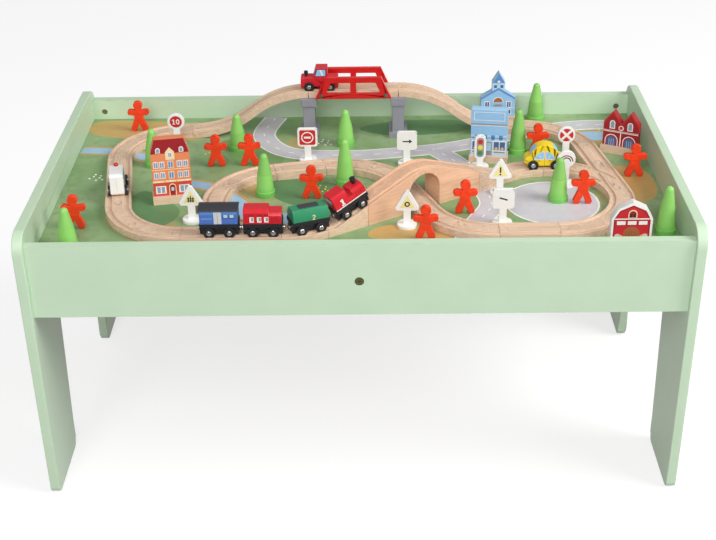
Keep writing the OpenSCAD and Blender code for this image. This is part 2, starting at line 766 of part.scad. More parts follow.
module gabled_house() color("#b01f24") building(gabled_spot) {
    wall = 46;
    translate([-house_w / 2, 0]) square([house_w, wall]);
    for (s = [-1, 1]) translate([s * house_w / 4, 0]) gable_outline(w = house_w / 2, wall = wall, roof = 20);
}
module barn() color("#b3151b") building(barn_spot) {
    loft_w = house_w * 0.7;
    mansard_outline(w = house_w, wall = 36, roof = 16, ridge = loft_w);
    gable_outline(w = loft_w, wall = 52, roof = 10);
}

// Wheels and axles, laid along Y at an axle's middle
module wheel() difference() {
    translate([0, groove_y - wheel_t / 2, 0]) rod_y(wheel_d, wheel_t);
    translate([0, groove_y - wheel_t, 0]) rod_y(axle_d + 2 * fit_gap, 2 * wheel_t);
    difference() {
        translate([0, groove_y + wheel_t / 2 - rim_depth, 0]) rod_y(wheel_d - 2 * rim_w, wheel_t);
        rod_y(axle_head_d + 1, 2 * groove_y);
    }
}
module axle() {
    head_y = groove_y + wheel_t / 2 + roll_gap;
    translate([0, -head_y, 0]) rod_y(axle_d, 2 * head_y);
    both_y() translate([0, head_y, 0]) rod_y(axle_head_d, axle_head_t);
}
module wheelset(x) color("#222226") translate([x, 0, axle_z]) {
    axle();
    both_y() wheel();
}
module axle_bores(base) for (x = [-1, 1] * base / 2)
    translate([x, -vehicle_w, axle_z]) rod_y(axle_d + 2 * fit_gap, 2 * vehicle_w);

// Wagons and engine stand on a chassis
module chassis() color("#202024") difference() {
    union() {
        translate([-wagon_len / 2, -chassis_w / 2, chassis_low])
            cube([wagon_len, chassis_w, floor_z - chassis_low]);
        translate([-wagon_len / 2, -vehicle_w / 2, floor_z]) cube([wagon_len, vehicle_w, sill_t]);
    }
    axle_bores(wheelbase);
}
module magnets() color("#b9b9bd") both_x()
    translate([wagon_len / 2, 0, magnet_z]) rod_x(magnet_d, magnet_len);
// runs a cross-section along X, centred
module along(l) translate([-l / 2, 0, 0]) rotate([90, 0, 90]) linear_extrude(l) children();
module blue_body() {
    wall = 21;
    roof = 6;
    roof_r = (pow(vehicle_w / 2, 2) + pow(roof, 2)) / 2 / roof;
    translate([-body_len / 2, -body_w / 2, body_z]) cube([body_len, body_w, wall]);
    along(wagon_len) intersection() {
        translate([0, body_z + wall + roof - roof_r]) circle(roof_r);
        translate([-vehicle_w / 2, body_z + wall]) square([vehicle_w, roof]);
    }
}
// a box whose long upper edges are sloped off
module sloped_box(l, wall, roof, top_w) along(l) polygon([
    [-body_w / 2, 0], [body_w / 2, 0], [body_w / 2, wall], [top_w / 2, wall + roof],
    [-top_w / 2, wall + roof], [-body_w / 2, wall]
]);
module red_body() translate([0, 0, body_z]) {
    sloped_box(l = body_len, wall = 13, roof = 4, top_w = body_w - 7);
    translate([-body_len / 6, 0, 0])
        sloped_box(l = body_len * 2 / 3, wall = 18, roof = 5, top_w = body_w - 11);
}
module green_body() translate([0, 0, body_z]) {
    wall = 9;
    roof = 9;
    hatch = [30, 12, wall + roof + 1];
    sloped_box(l = body_len, wall = wall, roof = roof, top_w = body_w - 11);
    translate([-hatch[0] / 2, -hatch[1] / 2, 0]) cube(hatch);
}
engine_cab_len = 26;
engine_hood_len = 22;
engine_hood_h = 17;
engine_floor_h = 10;
engine_stack_x = 20;
module engine_parts() translate([0, 0, body_z]) {
    top_w = body_w - 9;
    translate([(engine_cab_len - body_len) / 2, 0, 0])
        sloped_box(l = engine_cab_len, wall = 18, roof = 6, top_w = top_w);
    translate([(body_len - engine_hood_len) / 2, 0, 0])
        sloped_box(l = engine_hood_len, wall = engine_hood_h - 4, roof = 4, top_w = top_w);
    sloped_box(l = body_len, wall = engine_floor_h - 1, roof = 1, top_w = body_w - 4);
}

// Cars: one block between the wheels, with axle bores
module car_shell() difference() {
    upright(car_w) children();
    axle_bores(car_wheelbase);
}
ambulance_h = 38;
ambulance_bonnet = 22;
ambulance_light_x = car_len / 2 - ambulance_bonnet - 6;
module ambulance_outline() translate([0, chassis_low]) {
    rounded_rect(w = car_len, h = 19, r = 5);
    translate([-ambulance_bonnet / 2, 0])
        rounded_rect(w = car_len - ambulance_bonnet, h = ambulance_h - chassis_low, r = 5);
}
module taxi_outline() {
    roof_h = 40;
    roof_r = 24;
    translate([0, chassis_low]) rounded_rect(w = car_len, h = 18, r = 8);
    intersection() {
        translate([0, roof_h - roof_r]) circle(roof_r);
        translate([-roof_r, chassis_low + 1]) square([2 * roof_r, roof_h]);
    }
}
truck_hood_h = 22;
truck_stack_x = 23;
module truck_outline() {
    cab_h = 39;
    cab_back = -14;
    cab_front = 11;
    screen_lean = 5;
    translate([0, chassis_low]) rounded_rect(w = car_len, h = truck_hood_h - chassis_low, r = 3);
    polygon([
        [cab_back, truck_hood_h / 2], [cab_front, truck_hood_h / 2], [cab_front, truck_hood_h],
        [cab_front - screen_lean, cab_h], [cab_back, cab_h]
    ]);
}
// a pipe with a wider upper half
module stack(d, h) {
    cylinder(d = d - 2, h = h);
    translate([0, 0, h / 2]) cylinder(d = d, h = h / 2);
}
module roof_light() {
    light_r = 3.5;
    cylinder(r = light_r, h = 1.5);
    translate([0, 0, 1.5]) intersection() {
        sphere(light_r);
        translate([-light_r, -light_r, -1]) cube([2 * light_r, 2 * light_r, light_r + 1]);
    }
}

// Where each vehicle stands
module blue_place() at(blue_spot, track_z) children();
module red_place() at(red_spot, track_z) children();
module green_place() at(green_spot, track_z) children();
module engine_place() at(arch_start, board_z)
    translate([engine_s, 0, arch_end_h + tan(arch_slope) * engine_s]) rotate([0, -arch_slope, 0]) children();
module ambulance_place() at(go(left_low, ambulance_s), track_z) children();
module taxi_place() at(taxi_spot, track_z) children();
module truck_place() at(back(go(deck_start, truck_s)), deck_z) children();

module blue_wagon_body() color("#4f74c4") blue_place() blue_body();
module blue_wagon_chassis() blue_place() chassis();
module blue_wagon_magnets() blue_place() magnets();
module blue_wagon_front_wheels() blue_place() wheelset(wheelbase / 2);
module blue_wagon_rear_wheels() blue_place() wheelset(-wheelbase / 2);
module red_wagon_body() color("#c9202b") red_place() red_body();
module red_wagon_chassis() red_place() chassis();
module red_wagon_magnets() red_place() magnets();
module red_wagon_front_wheels() red_place() wheelset(wheelbase / 2);
module red_wagon_rear_wheels() red_place() wheelset(-wheelbase / 2);
module green_wagon_body() color("#2f8a60") green_place() green_body();
module green_wagon_chassis() green_place() chassis();
module green_wagon_magnets() green_place() magnets();
module green_wagon_front_wheels() green_place() wheelset(wheelbase / 2);
module green_wagon_rear_wheels() green_place() wheelset(-wheelbase / 2);
module engine_body() color("#d0202c") engine_place() engine_parts();
module engine_stack() color("#202024") engine_place()
    translate([engine_stack_x, 0, body_z + engine_hood_h]) stack(9, 9);
module engine_chassis() engine_place() chassis();
module engine_magnets() engine_place() magnets();
module engine_front_wheels() engine_place() wheelset(wheelbase / 2);
module engine_rear_wheels() engine_place() wheelset(-wheelbase / 2);
module ambulance_body() color("#f4f4f2") ambulance_place() car_shell() ambulance_outline();
module ambulance_light() color("#c3151c") ambulance_place()
    translate([ambulance_light_x, 0, ambulance_h]) roof_light();
module ambulance_front_wheels() ambulance_place() wheelset(car_wheelbase / 2);
module ambulance_rear_wheels() ambulance_place() wheelset(-car_wheelbase / 2);
module taxi_body() color("#f2d21f") taxi_place() car_shell() taxi_outline();
module taxi_front_wheels() taxi_place() wheelset(car_wheelbase / 2);
module taxi_rear_wheels() taxi_place() wheelset(-car_wheelbase / 2);
module truck_body() color("#cc2027") truck_place() car_shell() truck_outline();
module truck_stack() color("#202024") truck_place() translate([truck_stack_x, 0, truck_hood_h]) stack(7, 8);
module truck_front_wheels() truck_place() wheelset(car_wheelbase / 2);
module truck_rear_wheels() truck_place() wheelset(-car_wheelbase / 2);

left_end_panel();
right_end_panel();
front_rail();
back_rail();
play_board();
board_battens();
centre_brace();
frame_bolts();
barrel_nuts();
locating_dowels();
wood_screws();
straight_tracks();
curved_tracks();
switch_tracks();
track_ramps();
arch_bridge();
bridge_deck();
bridge_girders();
bridge_piers();
trees();
figures();
signs();
town_house();
school();
shop();
gabled_house();
barn();
blue_wagon_body();
blue_wagon_chassis();
blue_wagon_magnets();
blue_wagon_front_wheels();
blue_wagon_rear_wheels();
red_wagon_body();
red_wagon_chassis();
red_wagon_magnets();
red_wagon_front_wheels();
red_wagon_rear_wheels();
green_wagon_body();
green_wagon_chassis();
green_wagon_magnets();
green_wagon_front_wheels();
green_wagon_rear_wheels();
engine_body();
engine_stack();
engine_chassis();
engine_magnets();
engine_front_wheels();
engine_rear_wheels();
ambulance_body();
ambulance_light();
ambulance_front_wheels();
ambulance_rear_wheels();
taxi_body();
taxi_front_wheels();
taxi_rear_wheels();
truck_body();
truck_stack();
truck_front_wheels();
truck_rear_wheels();
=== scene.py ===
import json
import math

import bmesh
import bpy
from bpy.props import FloatProperty, FloatVectorProperty, PointerProperty
from bpy.types import Operator, Panel, PropertyGroup
from mathutils import Matrix, Vector


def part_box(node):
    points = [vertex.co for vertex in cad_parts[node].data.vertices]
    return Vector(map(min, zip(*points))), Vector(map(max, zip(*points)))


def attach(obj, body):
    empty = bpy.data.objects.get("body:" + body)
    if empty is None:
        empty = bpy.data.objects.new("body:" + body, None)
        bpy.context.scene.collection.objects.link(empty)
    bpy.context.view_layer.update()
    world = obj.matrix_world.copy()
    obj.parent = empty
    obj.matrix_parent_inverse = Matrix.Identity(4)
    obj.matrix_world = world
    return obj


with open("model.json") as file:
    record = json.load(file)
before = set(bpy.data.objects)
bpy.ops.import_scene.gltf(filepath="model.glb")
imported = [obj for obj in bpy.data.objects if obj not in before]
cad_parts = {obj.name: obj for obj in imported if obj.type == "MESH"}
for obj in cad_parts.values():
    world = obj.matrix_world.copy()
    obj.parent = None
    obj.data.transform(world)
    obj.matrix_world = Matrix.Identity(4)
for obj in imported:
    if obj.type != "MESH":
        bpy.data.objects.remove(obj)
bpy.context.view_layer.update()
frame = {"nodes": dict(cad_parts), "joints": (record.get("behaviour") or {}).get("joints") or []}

bl_info = {
    "name": "Train table",
    "version": (1, 0, 0),
    "blender": (4, 5, 0),
    "location": "View3D > Sidebar > Train table",
    "description": "Dresses a wooden train table with its finishes, prints and small trim",
    "category": "Object",
}

# Sizes taken from the frame, in mm
MM = 0.001
BOARD_TOP, TREE_TOP, SIGN_TOP = (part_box(node)[1].z / MM for node in ("play_board", "trees", "signs"))
JOINTS = {joint["name"]: joint for joint in frame["joints"]}

# Shared sizes of the prints: how deep an ink is sunk, and the step from one ink to the next on top
SINK = 0.3
INK_STEP = 0.12

# Camera of the photo: place in mm, angles in degrees, focal length and image width in pixels
CAMERA_PLACE = Vector((16.2, -1884.9, 1316.8))
CAMERA_YAW = -0.64
CAMERA_PITCH = 29.79
CAMERA_ROLL = -0.89
FOCAL_PIXELS = 1291.7
IMAGE_WIDTH = 716


# Colours
def linear(code):
    """Turns an sRGB hex colour into linear RGBA."""
    parts = [int(code[i:i + 2], 16) / 255 for i in (1, 3, 5)]
    return tuple(c / 12.92 if c <= 0.04045 else ((c + 0.055) / 1.055) ** 2.4 for c in parts) + (1.0,)


def shade(colour, factor):
    """Makes a linear colour darker or lighter."""
    return tuple(min(1.0, c * factor) for c in colour[:3]) + (1.0,)


INKS = {
    "white": "#f1f0ec", "cream": "#f3ddb0", "black": "#26262a", "grey": "#8f949c", "pale_grey": "#cfcfd2",
    "red": "#c9232b", "dark_red": "#9c1420", "brick": "#cf4a35", "orange": "#e88a5c", "yellow": "#efd04a",
    "pale_blue": "#93c3ea", "sky": "#b3d6ef", "blue": "#5b8fd0", "deep_blue": "#46679c", "brown": "#a2623c",
    "leaf": "#3f8f4b", "pane": "#8e9cb4", "lane": "#c9c7cc", "water": "#9fc3df", "straw": "#c7a465",
    "meadow": "#769a60", "moss": "#5f8a58", "silver": "#c4c6ca", "gold": "#d9bd74", "lemon": "#efe3a0",
}


# Shader nodes
def fill(tree, node, inputs):
    """Links or sets a node's inputs."""
    for key, value in inputs.items():
        if isinstance(value, bpy.types.NodeSocket):
            tree.links.new(value, node.inputs[key])
        else:
            node.inputs[key].default_value = value


def add(tree, kind, inputs=None, **settings):
    """Adds a node, with its settings and its inputs."""
    node = tree.nodes.new(kind)
    for key, value in settings.items():
        setattr(node, key, value)
    fill(tree, node, inputs or {})
    return node


def new_material(name):
    """A new material with its node tree, its shader and the place on the object."""
    made = bpy.data.materials.new(name)
    made.use_nodes = True
    tree = made.node_tree
    place = add(tree, "ShaderNodeTexCoord").outputs["Object"]
    return made, tree, tree.nodes["Principled BSDF"], place


def noise(tree, place, size_mm, detail, distortion=0.0):
    """Cloudy values in cells of about that size."""
    return add(tree, "ShaderNodeTexNoise", {
        "Vector": place, "Scale": 1 / (size_mm * MM), "Detail": detail, "Distortion": distortion,
    }).outputs["Fac"]


def grain(tree, place, length_mm, width_mm, detail, heading=0.0):
    """Cloudy values in long cells, that lie along X or along a heading in degrees."""
    along = add(tree, "ShaderNodeMapping", {
        "Vector": place, "Rotation": (0.0, 0.0, math.radians(heading)),
        "Scale": (length_mm * MM, width_mm * MM, width_mm * MM),
    }, vector_type="TEXTURE").outputs[0]
    inputs = {"Vector": along, "Scale": 1.0, "Detail": detail}
    return add(tree, "ShaderNodeTexNoise", inputs).outputs["Fac"]


def reckon(tree, operation, first, second=0.0):
    """A value worked out of one or two others."""
    return add(tree, "ShaderNodeMath", {0: first, 1: second}, operation=operation).outputs[0]


def spread(tree, value, low=0.0, high=1.0, start=0.0, end=1.0, curve="LINEAR"):
    """Maps the values from start to end onto those from low to high."""
    return add(tree, "ShaderNodeMapRange", {
        "Value": value, "From Min": start, "From Max": end, "To Min": low, "To Max": high,
    }, interpolation_type=curve).outputs[0]


def blend(tree, share, low, high):
    """A colour between two colours."""
    return add(tree, "ShaderNodeMix", {0: share, 6: low, 7: high}, data_type="RGBA").outputs[2]


def tones(tree, share, colour, dark, light):
    """A colour between a darker and a lighter tone of one colour."""
    return blend(tree, share, shade(colour, dark), shade(colour, light))


def own_tone(tree, colour, low, high):
    """Makes each loose piece of an object a little darker or lighter than the others."""
    island = add(tree, "ShaderNodeNewGeometry").outputs["Random Per Island"]
    value = spread(tree, island, low, high)
    return add(tree, "ShaderNodeHueSaturation", {"Value": value, "Color": colour}).outputs[0]


def relief(tree, height, strength, depth_mm):
    """A fine relief in the surface."""
    inputs = {"Height": height, "Strength": strength, "Distance": depth_mm * MM}
    return add(tree, "ShaderNodeBump", inputs).outputs[0]


# Materials
def sprayed_lacquer(name, colour, roughness, cloud_mm=70, peel_mm=2.5, depth_mm=0.05, coat=0.0):
    """Lacquer sprayed on sanded board: a soft sheen, a faint orange peel and hardly any change of tone."""
    made, tree, shader, place = new_material(name)
    cloud = noise(tree, place, cloud_mm, 3.0)
    # real orange peel is about 1 mm wide and is drawn coarser, so that it shows
    peel = noise(tree, place, peel_mm, 1.0)
    fill(tree, shader, {
        "Base Color": tones(tree, cloud, colour, 0.93, 1.05),
        "Roughness": spread(tree, cloud, roughness - 0.06, roughness + 0.06),
        "Normal": relief(tree, peel, 0.5, depth_mm),
        "IOR": 1.5, "Coat Weight": coat, "Coat Roughness": 0.15,
    })
    return made


def paint_shaded_at_foot(name, shaded_colour, lit_colour, low_z, high_z, roughness):
    """Paint on wood with painted shade: darker at the foot, where shade falls near the board, paler at the
    tip, and a tone of its own for each piece.
    """
    made, tree, shader, place = new_material(name)
    height = add(tree, "ShaderNodeSeparateXYZ", {0: place}).outputs["Z"]
    # painted shade: the colour runs from the shaded colour at the foot to the lit colour higher up
    rise = spread(tree, height, start=low_z * MM, end=high_z * MM, curve="SMOOTHSTEP")
    tone = blend(tree, rise, shaded_colour, lit_colour)
    # brush and drip marks of the paint, a few mm wide
    drips = noise(tree, place, 4, 2.0)
    fill(tree, shader, {
        "Base Color": own_tone(tree, tone, 0.88, 1.06), "Roughness": roughness,
        "Normal": relief(tree, drips, 0.4, 0.15), "IOR": 1.5,
    })
    return made


def sanded_beech(name, colour, heading=0.0, side_x=10000.0):
    """Sanded, bare beech: soft streaks and short flecks along the grain, each piece in its own tone."""
    made, tree, shader, place = new_material(name)
    island = add(tree, "ShaderNodeNewGeometry").outputs["Random Per Island"]
    shifted = add(tree, "ShaderNodeVectorMath", {0: place, 1: island}, operation="ADD").outputs[0]
    # pieces beyond side_x run across the table, and so does their grain
    across = add(tree, "ShaderNodeSeparateXYZ", {0: place}).outputs["X"]
    beyond = reckon(tree, "GREATER_THAN", reckon(tree, "ABSOLUTE", across), side_x * MM)
    quarter = add(tree, "ShaderNodeVectorRotate", {
        "Vector": shifted, "Angle": math.pi / 2,
    }, rotation_type="Z_AXIS").outputs[0]
    along = add(tree, "ShaderNodeMix", {
        0: beyond, 4: shifted, 5: quarter,
    }, data_type="VECTOR").outputs[1]
    # growth rings show as streaks about 4 mm wide
    streaks = grain(tree, along, 90, 4, 3.0, heading)
    # flecks of 0.4 mm are drawn 1.2 mm wide, so that they show
    flecks = grain(tree, along, 7, 1.2, 1.0, heading)
    wood = tones(tree, spread(tree, streaks, start=0.3, end=0.7), colour, 0.84, 1.06)
    dots = spread(tree, flecks, high=0.35, start=0.6, end=0.75)
    flecked = blend(tree, dots, wood, shade(colour, 0.62))
    fill(tree, shader, {
        "Base Color": own_tone(tree, flecked, 0.94, 1.05), "Roughness": 0.6,
        "Normal": relief(tree, streaks, 0.3, 0.1), "IOR": 1.5,
    })
    return made


def printed_meadow(name, meadow, light, straw, board):
    """Matt print on thin board: soft washes of two greens and some straw on top, brown board elsewhere."""
    made, tree, shader, place = new_material(name)
    wash = noise(tree, place, 110, 3.0)
    tuft = noise(tree, place, 16, 4.0)
    patch = noise(tree, place, 190, 1.0, 0.6)
    greens = blend(tree, spread(tree, wash, start=0.35, end=0.65), meadow, light)
    dabs = spread(tree, tuft, high=0.45, start=0.5, end=0.7)
    grass = blend(tree, dabs, greens, shade(meadow, 0.75))
    dry = spread(tree, patch, high=0.8, start=0.58, end=0.66)
    field = blend(tree, dry, grass, straw)
    normal = add(tree, "ShaderNodeNewGeometry").outputs["Normal"]
    facing = add(tree, "ShaderNodeSeparateXYZ", {0: normal}).outputs["Z"]
    on_top = reckon(tree, "GREATER_THAN", facing, 0.5)
    fill(tree, shader, {
        "Base Color": blend(tree, on_top, board, field), "Roughness": 0.55,
        "Normal": relief(tree, tuft, 0.2, 0.05), "IOR": 1.5,
    })
    return made


def print_ink(ink):
    """Matt ink printed on paper film: an even colour with a soft wash and the faint tooth of the paper."""
    name = "offset_ink_" + ink
    if name in bpy.data.materials:
        return bpy.data.materials[name]
    made, tree, shader, place = new_material(name)
    wash = noise(tree, place, 14, 3.0)
    # paper tooth of about 0.2 mm is drawn 0.8 mm wide, so that it shows
    tooth = noise(tree, place, 0.8, 1.0)
    fill(tree, shader, {
        "Base Color": tones(tree, wash, linear(INKS[ink]), 0.88, 1.08), "Roughness": 0.5,
        "Normal": relief(tree, tooth, 0.2, 0.03), "IOR": 1.5,
    })
    return made


def plate_and_base(name, plate_colour, wood_colour, split_z):
    """A painted plywood plate in a bare beech block: the tone changes at the top of the block."""
    made, tree, shader, place = new_material(name)
    height = add(tree, "ShaderNodeSeparateXYZ", {0: place}).outputs["Z"]
    above = reckon(tree, "GREATER_THAN", height, split_z * MM)
    streaks = grain(tree, place, 60, 3, 3.0)
    wood = tones(tree, streaks, wood_colour, 0.8, 1.1)
    # the paint on the plate varies softly, in clouds of about 12 mm
    paint = tones(tree, noise(tree, place, 12, 2.0), plate_colour, 0.9, 1.06)
    fill(tree, shader, {
        "Base Color": blend(tree, above, wood, paint), "Roughness": 0.5,
        "Normal": relief(tree, streaks, 0.25, 0.1), "IOR": 1.5,
    })
    return made


def plated_metal(name, colour, roughness, grain_mm):
    """Plated steel: a bright metal with fine tumbling marks that spread its highlights."""
    made, tree, shader, place = new_material(name)
    marks = noise(tree, place, grain_mm, 2.0)
    fill(tree, shader, {
        "Base Color": tones(tree, marks, colour, 0.85, 1.08),
        "Roughness": spread(tree, marks, roughness - 0.1, roughness + 0.1),
        "Normal": relief(tree, marks, 0.2, 0.03), "Metallic": 1.0,
    })
    return made


def moulded_abs(name, colour, roughness):
    """ABS moulded in a fine-grained tool: an even colour, a soft sheen and a slight grain."""
    made, tree, shader, place = new_material(name)
    scuff = noise(tree, place, 5, 3.0)
    fine = noise(tree, place, 0.8, 1.0)
    fill(tree, shader, {
        "Base Color": tones(tree, scuff, colour, 0.8, 1.25),
        "Roughness": spread(tree, scuff, roughness - 0.1, roughness + 0.1),
        "Normal": relief(tree, fine, 0.2, 0.04), "IOR": 1.54,
    })
    return made


# Outlines, as lists of points in mm
def rect(x, y, w, h):
    """A rectangle about its middle."""
    return [(x - w / 2, y - h / 2), (x + w / 2, y - h / 2), (x + w / 2, y + h / 2), (x - w / 2, y + h / 2)]


def arc(x, y, r, start, end, steps=16):
    """Points of an arc between two angles in degrees."""
    angles = [math.radians(start + (end - start) * i / steps) for i in range(steps + 1)]
    return [(x + r * math.cos(a), y + r * math.sin(a)) for a in angles]


def disc(x, y, r, squash=1.0, steps=32):
    """A circle, or an ellipse that is squashed in height."""
    return [(px, y + (py - y) * squash) for px, py in arc(x, y, r, 0, 360, steps)[:-1]]


def rounded(x, y, w, h, r):
    """A rectangle about its middle with round corners."""
    corners = [(1, 1, 0), (-1, 1, 90), (-1, -1, 180), (1, -1, 270)]
    return [
        point for sx, sy, a in corners
        for point in arc(x + sx * (w / 2 - r), y + sy * (h / 2 - r), r, a, a + 90, 6)
    ]


def arched(x, low, w, h):
    """A doorway: upright sides and a half-round top."""
    return [(x - w / 2, low), (x + w / 2, low)] + arc(x, low + h - w / 2, w / 2, 0, 180)


def between(a, b, c, d, t):
    """A value between b and c, at a share t of the way, on a smooth curve from a to d."""
    bend = (2 * a - 5 * b + 4 * c - d) * t ** 2 + (3 * b - a - 3 * c + d) * t ** 3
    return b + ((c - a) * t + bend) / 2


def smooth(points, closed):
    """A smooth curve through a few points."""
    steps = 8
    count = len(points)
    spans = count if closed else count - 1
    made = []
    for i in range(spans):
        around = range(i - 1, i + 3)
        near = [points[k % count] if closed else points[min(max(k, 0), count - 1)] for k in around]
        for step in range(steps):
            made.append(tuple(between(*values, step / steps) for values in zip(*near)))
    return made if closed else made + [tuple(points[-1])]


def grown(points, factor):
    """An outline that is larger about its middle."""
    middle = sum((Vector(p) for p in points), Vector((0, 0))) / len(points)
    return [tuple(middle + (Vector(p) - middle) * factor) for p in points]


def ribbon(line, width):
    """A band of even width along a line of points."""
    left, right = [], []
    for i, (x, y) in enumerate(line):
        before, after = line[max(i - 1, 0)], line[min(i + 1, len(line) - 1)]
        run = Vector((after[0] - before[0], after[1] - before[1])).normalized()
        left.append((x - run.y * width / 2, y + run.x * width / 2))
        right.append((x + run.y * width / 2, y - run.x * width / 2))
    return left + right[::-1]


# Meshes
def place_of(origin, across, up):
    """A place that is laid out in mm: across and up lie in its face, and its normal points out of it."""
    columns = [across * MM, up * MM, across.cross(up) * MM, origin * MM]
    return Matrix([[column[i] for column in columns] for i in range(3)] + [[0, 0, 0, 1]])


def lift(place, outline, depth):
    """An outline's points in a place, at a depth along its normal."""
    return [place @ Vector((u, v, depth)) for u, v in outline]


def skin(mesh, loops, capped=True):
    """Joins loops of points by quads and closes them, by two caps or by joining the last to the first."""
    rings = [[mesh.verts.new(point) for point in loop] for loop in loops]
    pairs = list(zip(rings, rings[1:]))
    if capped:
        mesh.faces.new(rings[0])
        mesh.faces.new(rings[-1])
    else:
        pairs.append((rings[-1], rings[0]))
    for low, high in pairs:
        for i in range(len(low)):
            k = (i + 1) % len(low)
            mesh.faces.new((low[i], low[k], high[k], high[i]))


def plate(mesh, place, outline, low, high):
    """Adds a closed plate between two depths."""
    skin(mesh, [lift(place, outline, low), lift(place, outline, high)])


def hoop(mesh, place, outer, inner, low, high):
    """Adds a closed frame between an outer and an inner outline of equally many points."""
    corners = ((outer, low), (outer, high), (inner, high), (inner, low))
    skin(mesh, [lift(place, outline, depth) for outline, depth in corners], capped=False)


def turned(mesh, place, profile):
    """Adds a turned piece: circles given as (radius, height) along the place's normal."""
    skin(mesh, [lift(place, disc(0, 0, r, steps=24), h) for r, h in profile])


def new_object(name, finish, mesh):
    """Makes one object of a mesh and its material."""
    bmesh.ops.recalc_face_normals(mesh, faces=mesh.faces)
    data = bpy.data.meshes.new(name)
    mesh.to_mesh(data)
    mesh.free()
    data.materials.append(finish)
    made = bpy.data.objects.new(name, data)
    bpy.context.scene.collection.objects.link(made)
    return made


def piece(name, body, finish, mesh, bevel_mm=0.0):
    """Makes one object of a mesh, that rides on a body."""
    made = new_object(name, finish, mesh)
    if bevel_mm:
        soften(made, bevel_mm)
    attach(made, body)


def soften(made, width_mm, segments=2, join_flat=False):
    """Rounds the sharp edges of an object a little, so that they catch the light."""
    weld = made.modifiers.new("weld", "WELD")
    weld.merge_threshold = 0.01 * MM
    if join_flat:
        # narrow triangles of a flat face are joined first, because a bevel folds them
        whole = made.modifiers.new("whole_faces", "DECIMATE")
        whole.decimate_type = "DISSOLVE"
        whole.angle_limit = math.radians(0.5)
    bevel = made.modifiers.new("soft_edges", "BEVEL")
    bevel.width = width_mm * MM
    bevel.segments = segments
    bevel.limit_method = "ANGLE"
    bevel.angle_limit = math.radians(40)
    bevel.use_clamp_overlap = False
    made.modifiers.new("even_shading", "WEIGHTED_NORMAL")


def dress(node, finish, bevel_mm=0.0, segments=2, join_flat=False):
    """Gives a CAD node its material and softens its edges."""
    made = frame["nodes"][node]
    if not made.material_slots:
        made.data.materials.append(finish)
    for holder in made.material_slots:
        holder.material = finish
    if bevel_mm:
        soften(made, bevel_mm, segments, join_flat)


class Prints:
    """Flat prints on a piece, kept by ink: one object is made of each ink."""

    def __init__(self, name, body, slot):
        self.name = name
        self.body = body
        self.slot = slot
        self.meshes = {}

    def mesh(self, ink):
        """The mesh that gathers one ink."""
        if ink not in self.meshes:
            self.meshes[ink] = bmesh.new()
        return self.meshes[ink]

    def finish(self):
        """Makes the objects."""
        for ink, mesh in self.meshes.items():
            piece(f"{self.name}_{ink}_print", self.body, print_ink(ink), mesh)


class Face:
    """A flat face that takes prints; one whose side is -1 mirrors them."""

    def __init__(self, prints, place, side=1):
        self.prints = prints
        self.place = place
        self.side = side

    def unmirrored(self):
        """The same face for numerals, which are never mirrored."""
        return Face(self.prints, self.place)

    def lay(self, ink, outline, layer=0):
        """Lays an outline of ink, over the layers below it."""
        mirrored = flip(outline, self.side)
        plate(self.prints.mesh(ink), self.place, mirrored, -SINK, INK_STEP * (layer + 1))

    def rim(self, ink, outer, inner, layer=0):
        """Lays a frame of ink between two outlines."""
        hoop(self.prints.mesh(ink), self.place, outer, inner, -SINK, INK_STEP * (layer + 1))

    def stroke(self, ink, line, width, layer=0):
        """Lays a line of ink."""
        self.lay(ink, ribbon(line, width), layer)

    def window(self, x, y, w, h, layer, frame_ink="white", pane_ink="pane"):
        """A window with its frame and a bar in the middle."""
        self.lay(frame_ink, rect(x, y, w, h), layer)
        for side in (-1, 1):
            self.lay(pane_ink, rect(x + side * w * 0.21, y, w * 0.32, h * 0.8), layer + 1)


# Numerals, as strokes of ink with their middle at x, y
def numeral_one(face, ink, x, y, h, width, layer):
    """Lays a plain figure one."""
    face.stroke(ink, [(x, y - h / 2), (x, y + h / 2)], width, layer)
    thin = width * 0.8
    face.stroke(ink, [(x - h * 0.27, y + h * 0.24), (x, y + h * 0.43)], thin, layer)
    face.stroke(ink, [(x - h * 0.25, y - h * 0.44), (x + h * 0.25, y - h * 0.44)], thin, layer)


def numeral_two(face, ink, x, y, h, width):
    """Lays a plain figure two."""
    r = h * 0.24
    bow = arc(x, y + h / 2 - r, r, 170, -40)
    face.stroke(ink, bow + [(x - r, y - h * 0.42)], width)
    face.stroke(ink, [(x - r * 1.2, y - h * 0.44), (x + r * 1.2, y - h * 0.44)], width)


# Places on the object
def level_place(z):
    """A level face at a height, X to the right and Y to the back."""
    return place_of(Vector((0, 0, z)), Vector((1, 0, 0)), Vector((0, 1, 0)))


def upright_faces(prints, spot, heading, half_t, low):
    """The front and back face of a plate that stands at a spot of the board."""
    turn = math.radians(heading)
    faces = []
    for side in (1, -1):
        across = Vector((math.cos(turn), math.sin(turn), 0)) * side
        out = across.cross(Vector((0, 0, 1)))
        origin = Vector((spot[0], spot[1], BOARD_TOP + low)) + out * half_t
        faces.append(Face(prints, place_of(origin, across, Vector((0, 0, 1)))))
    return faces


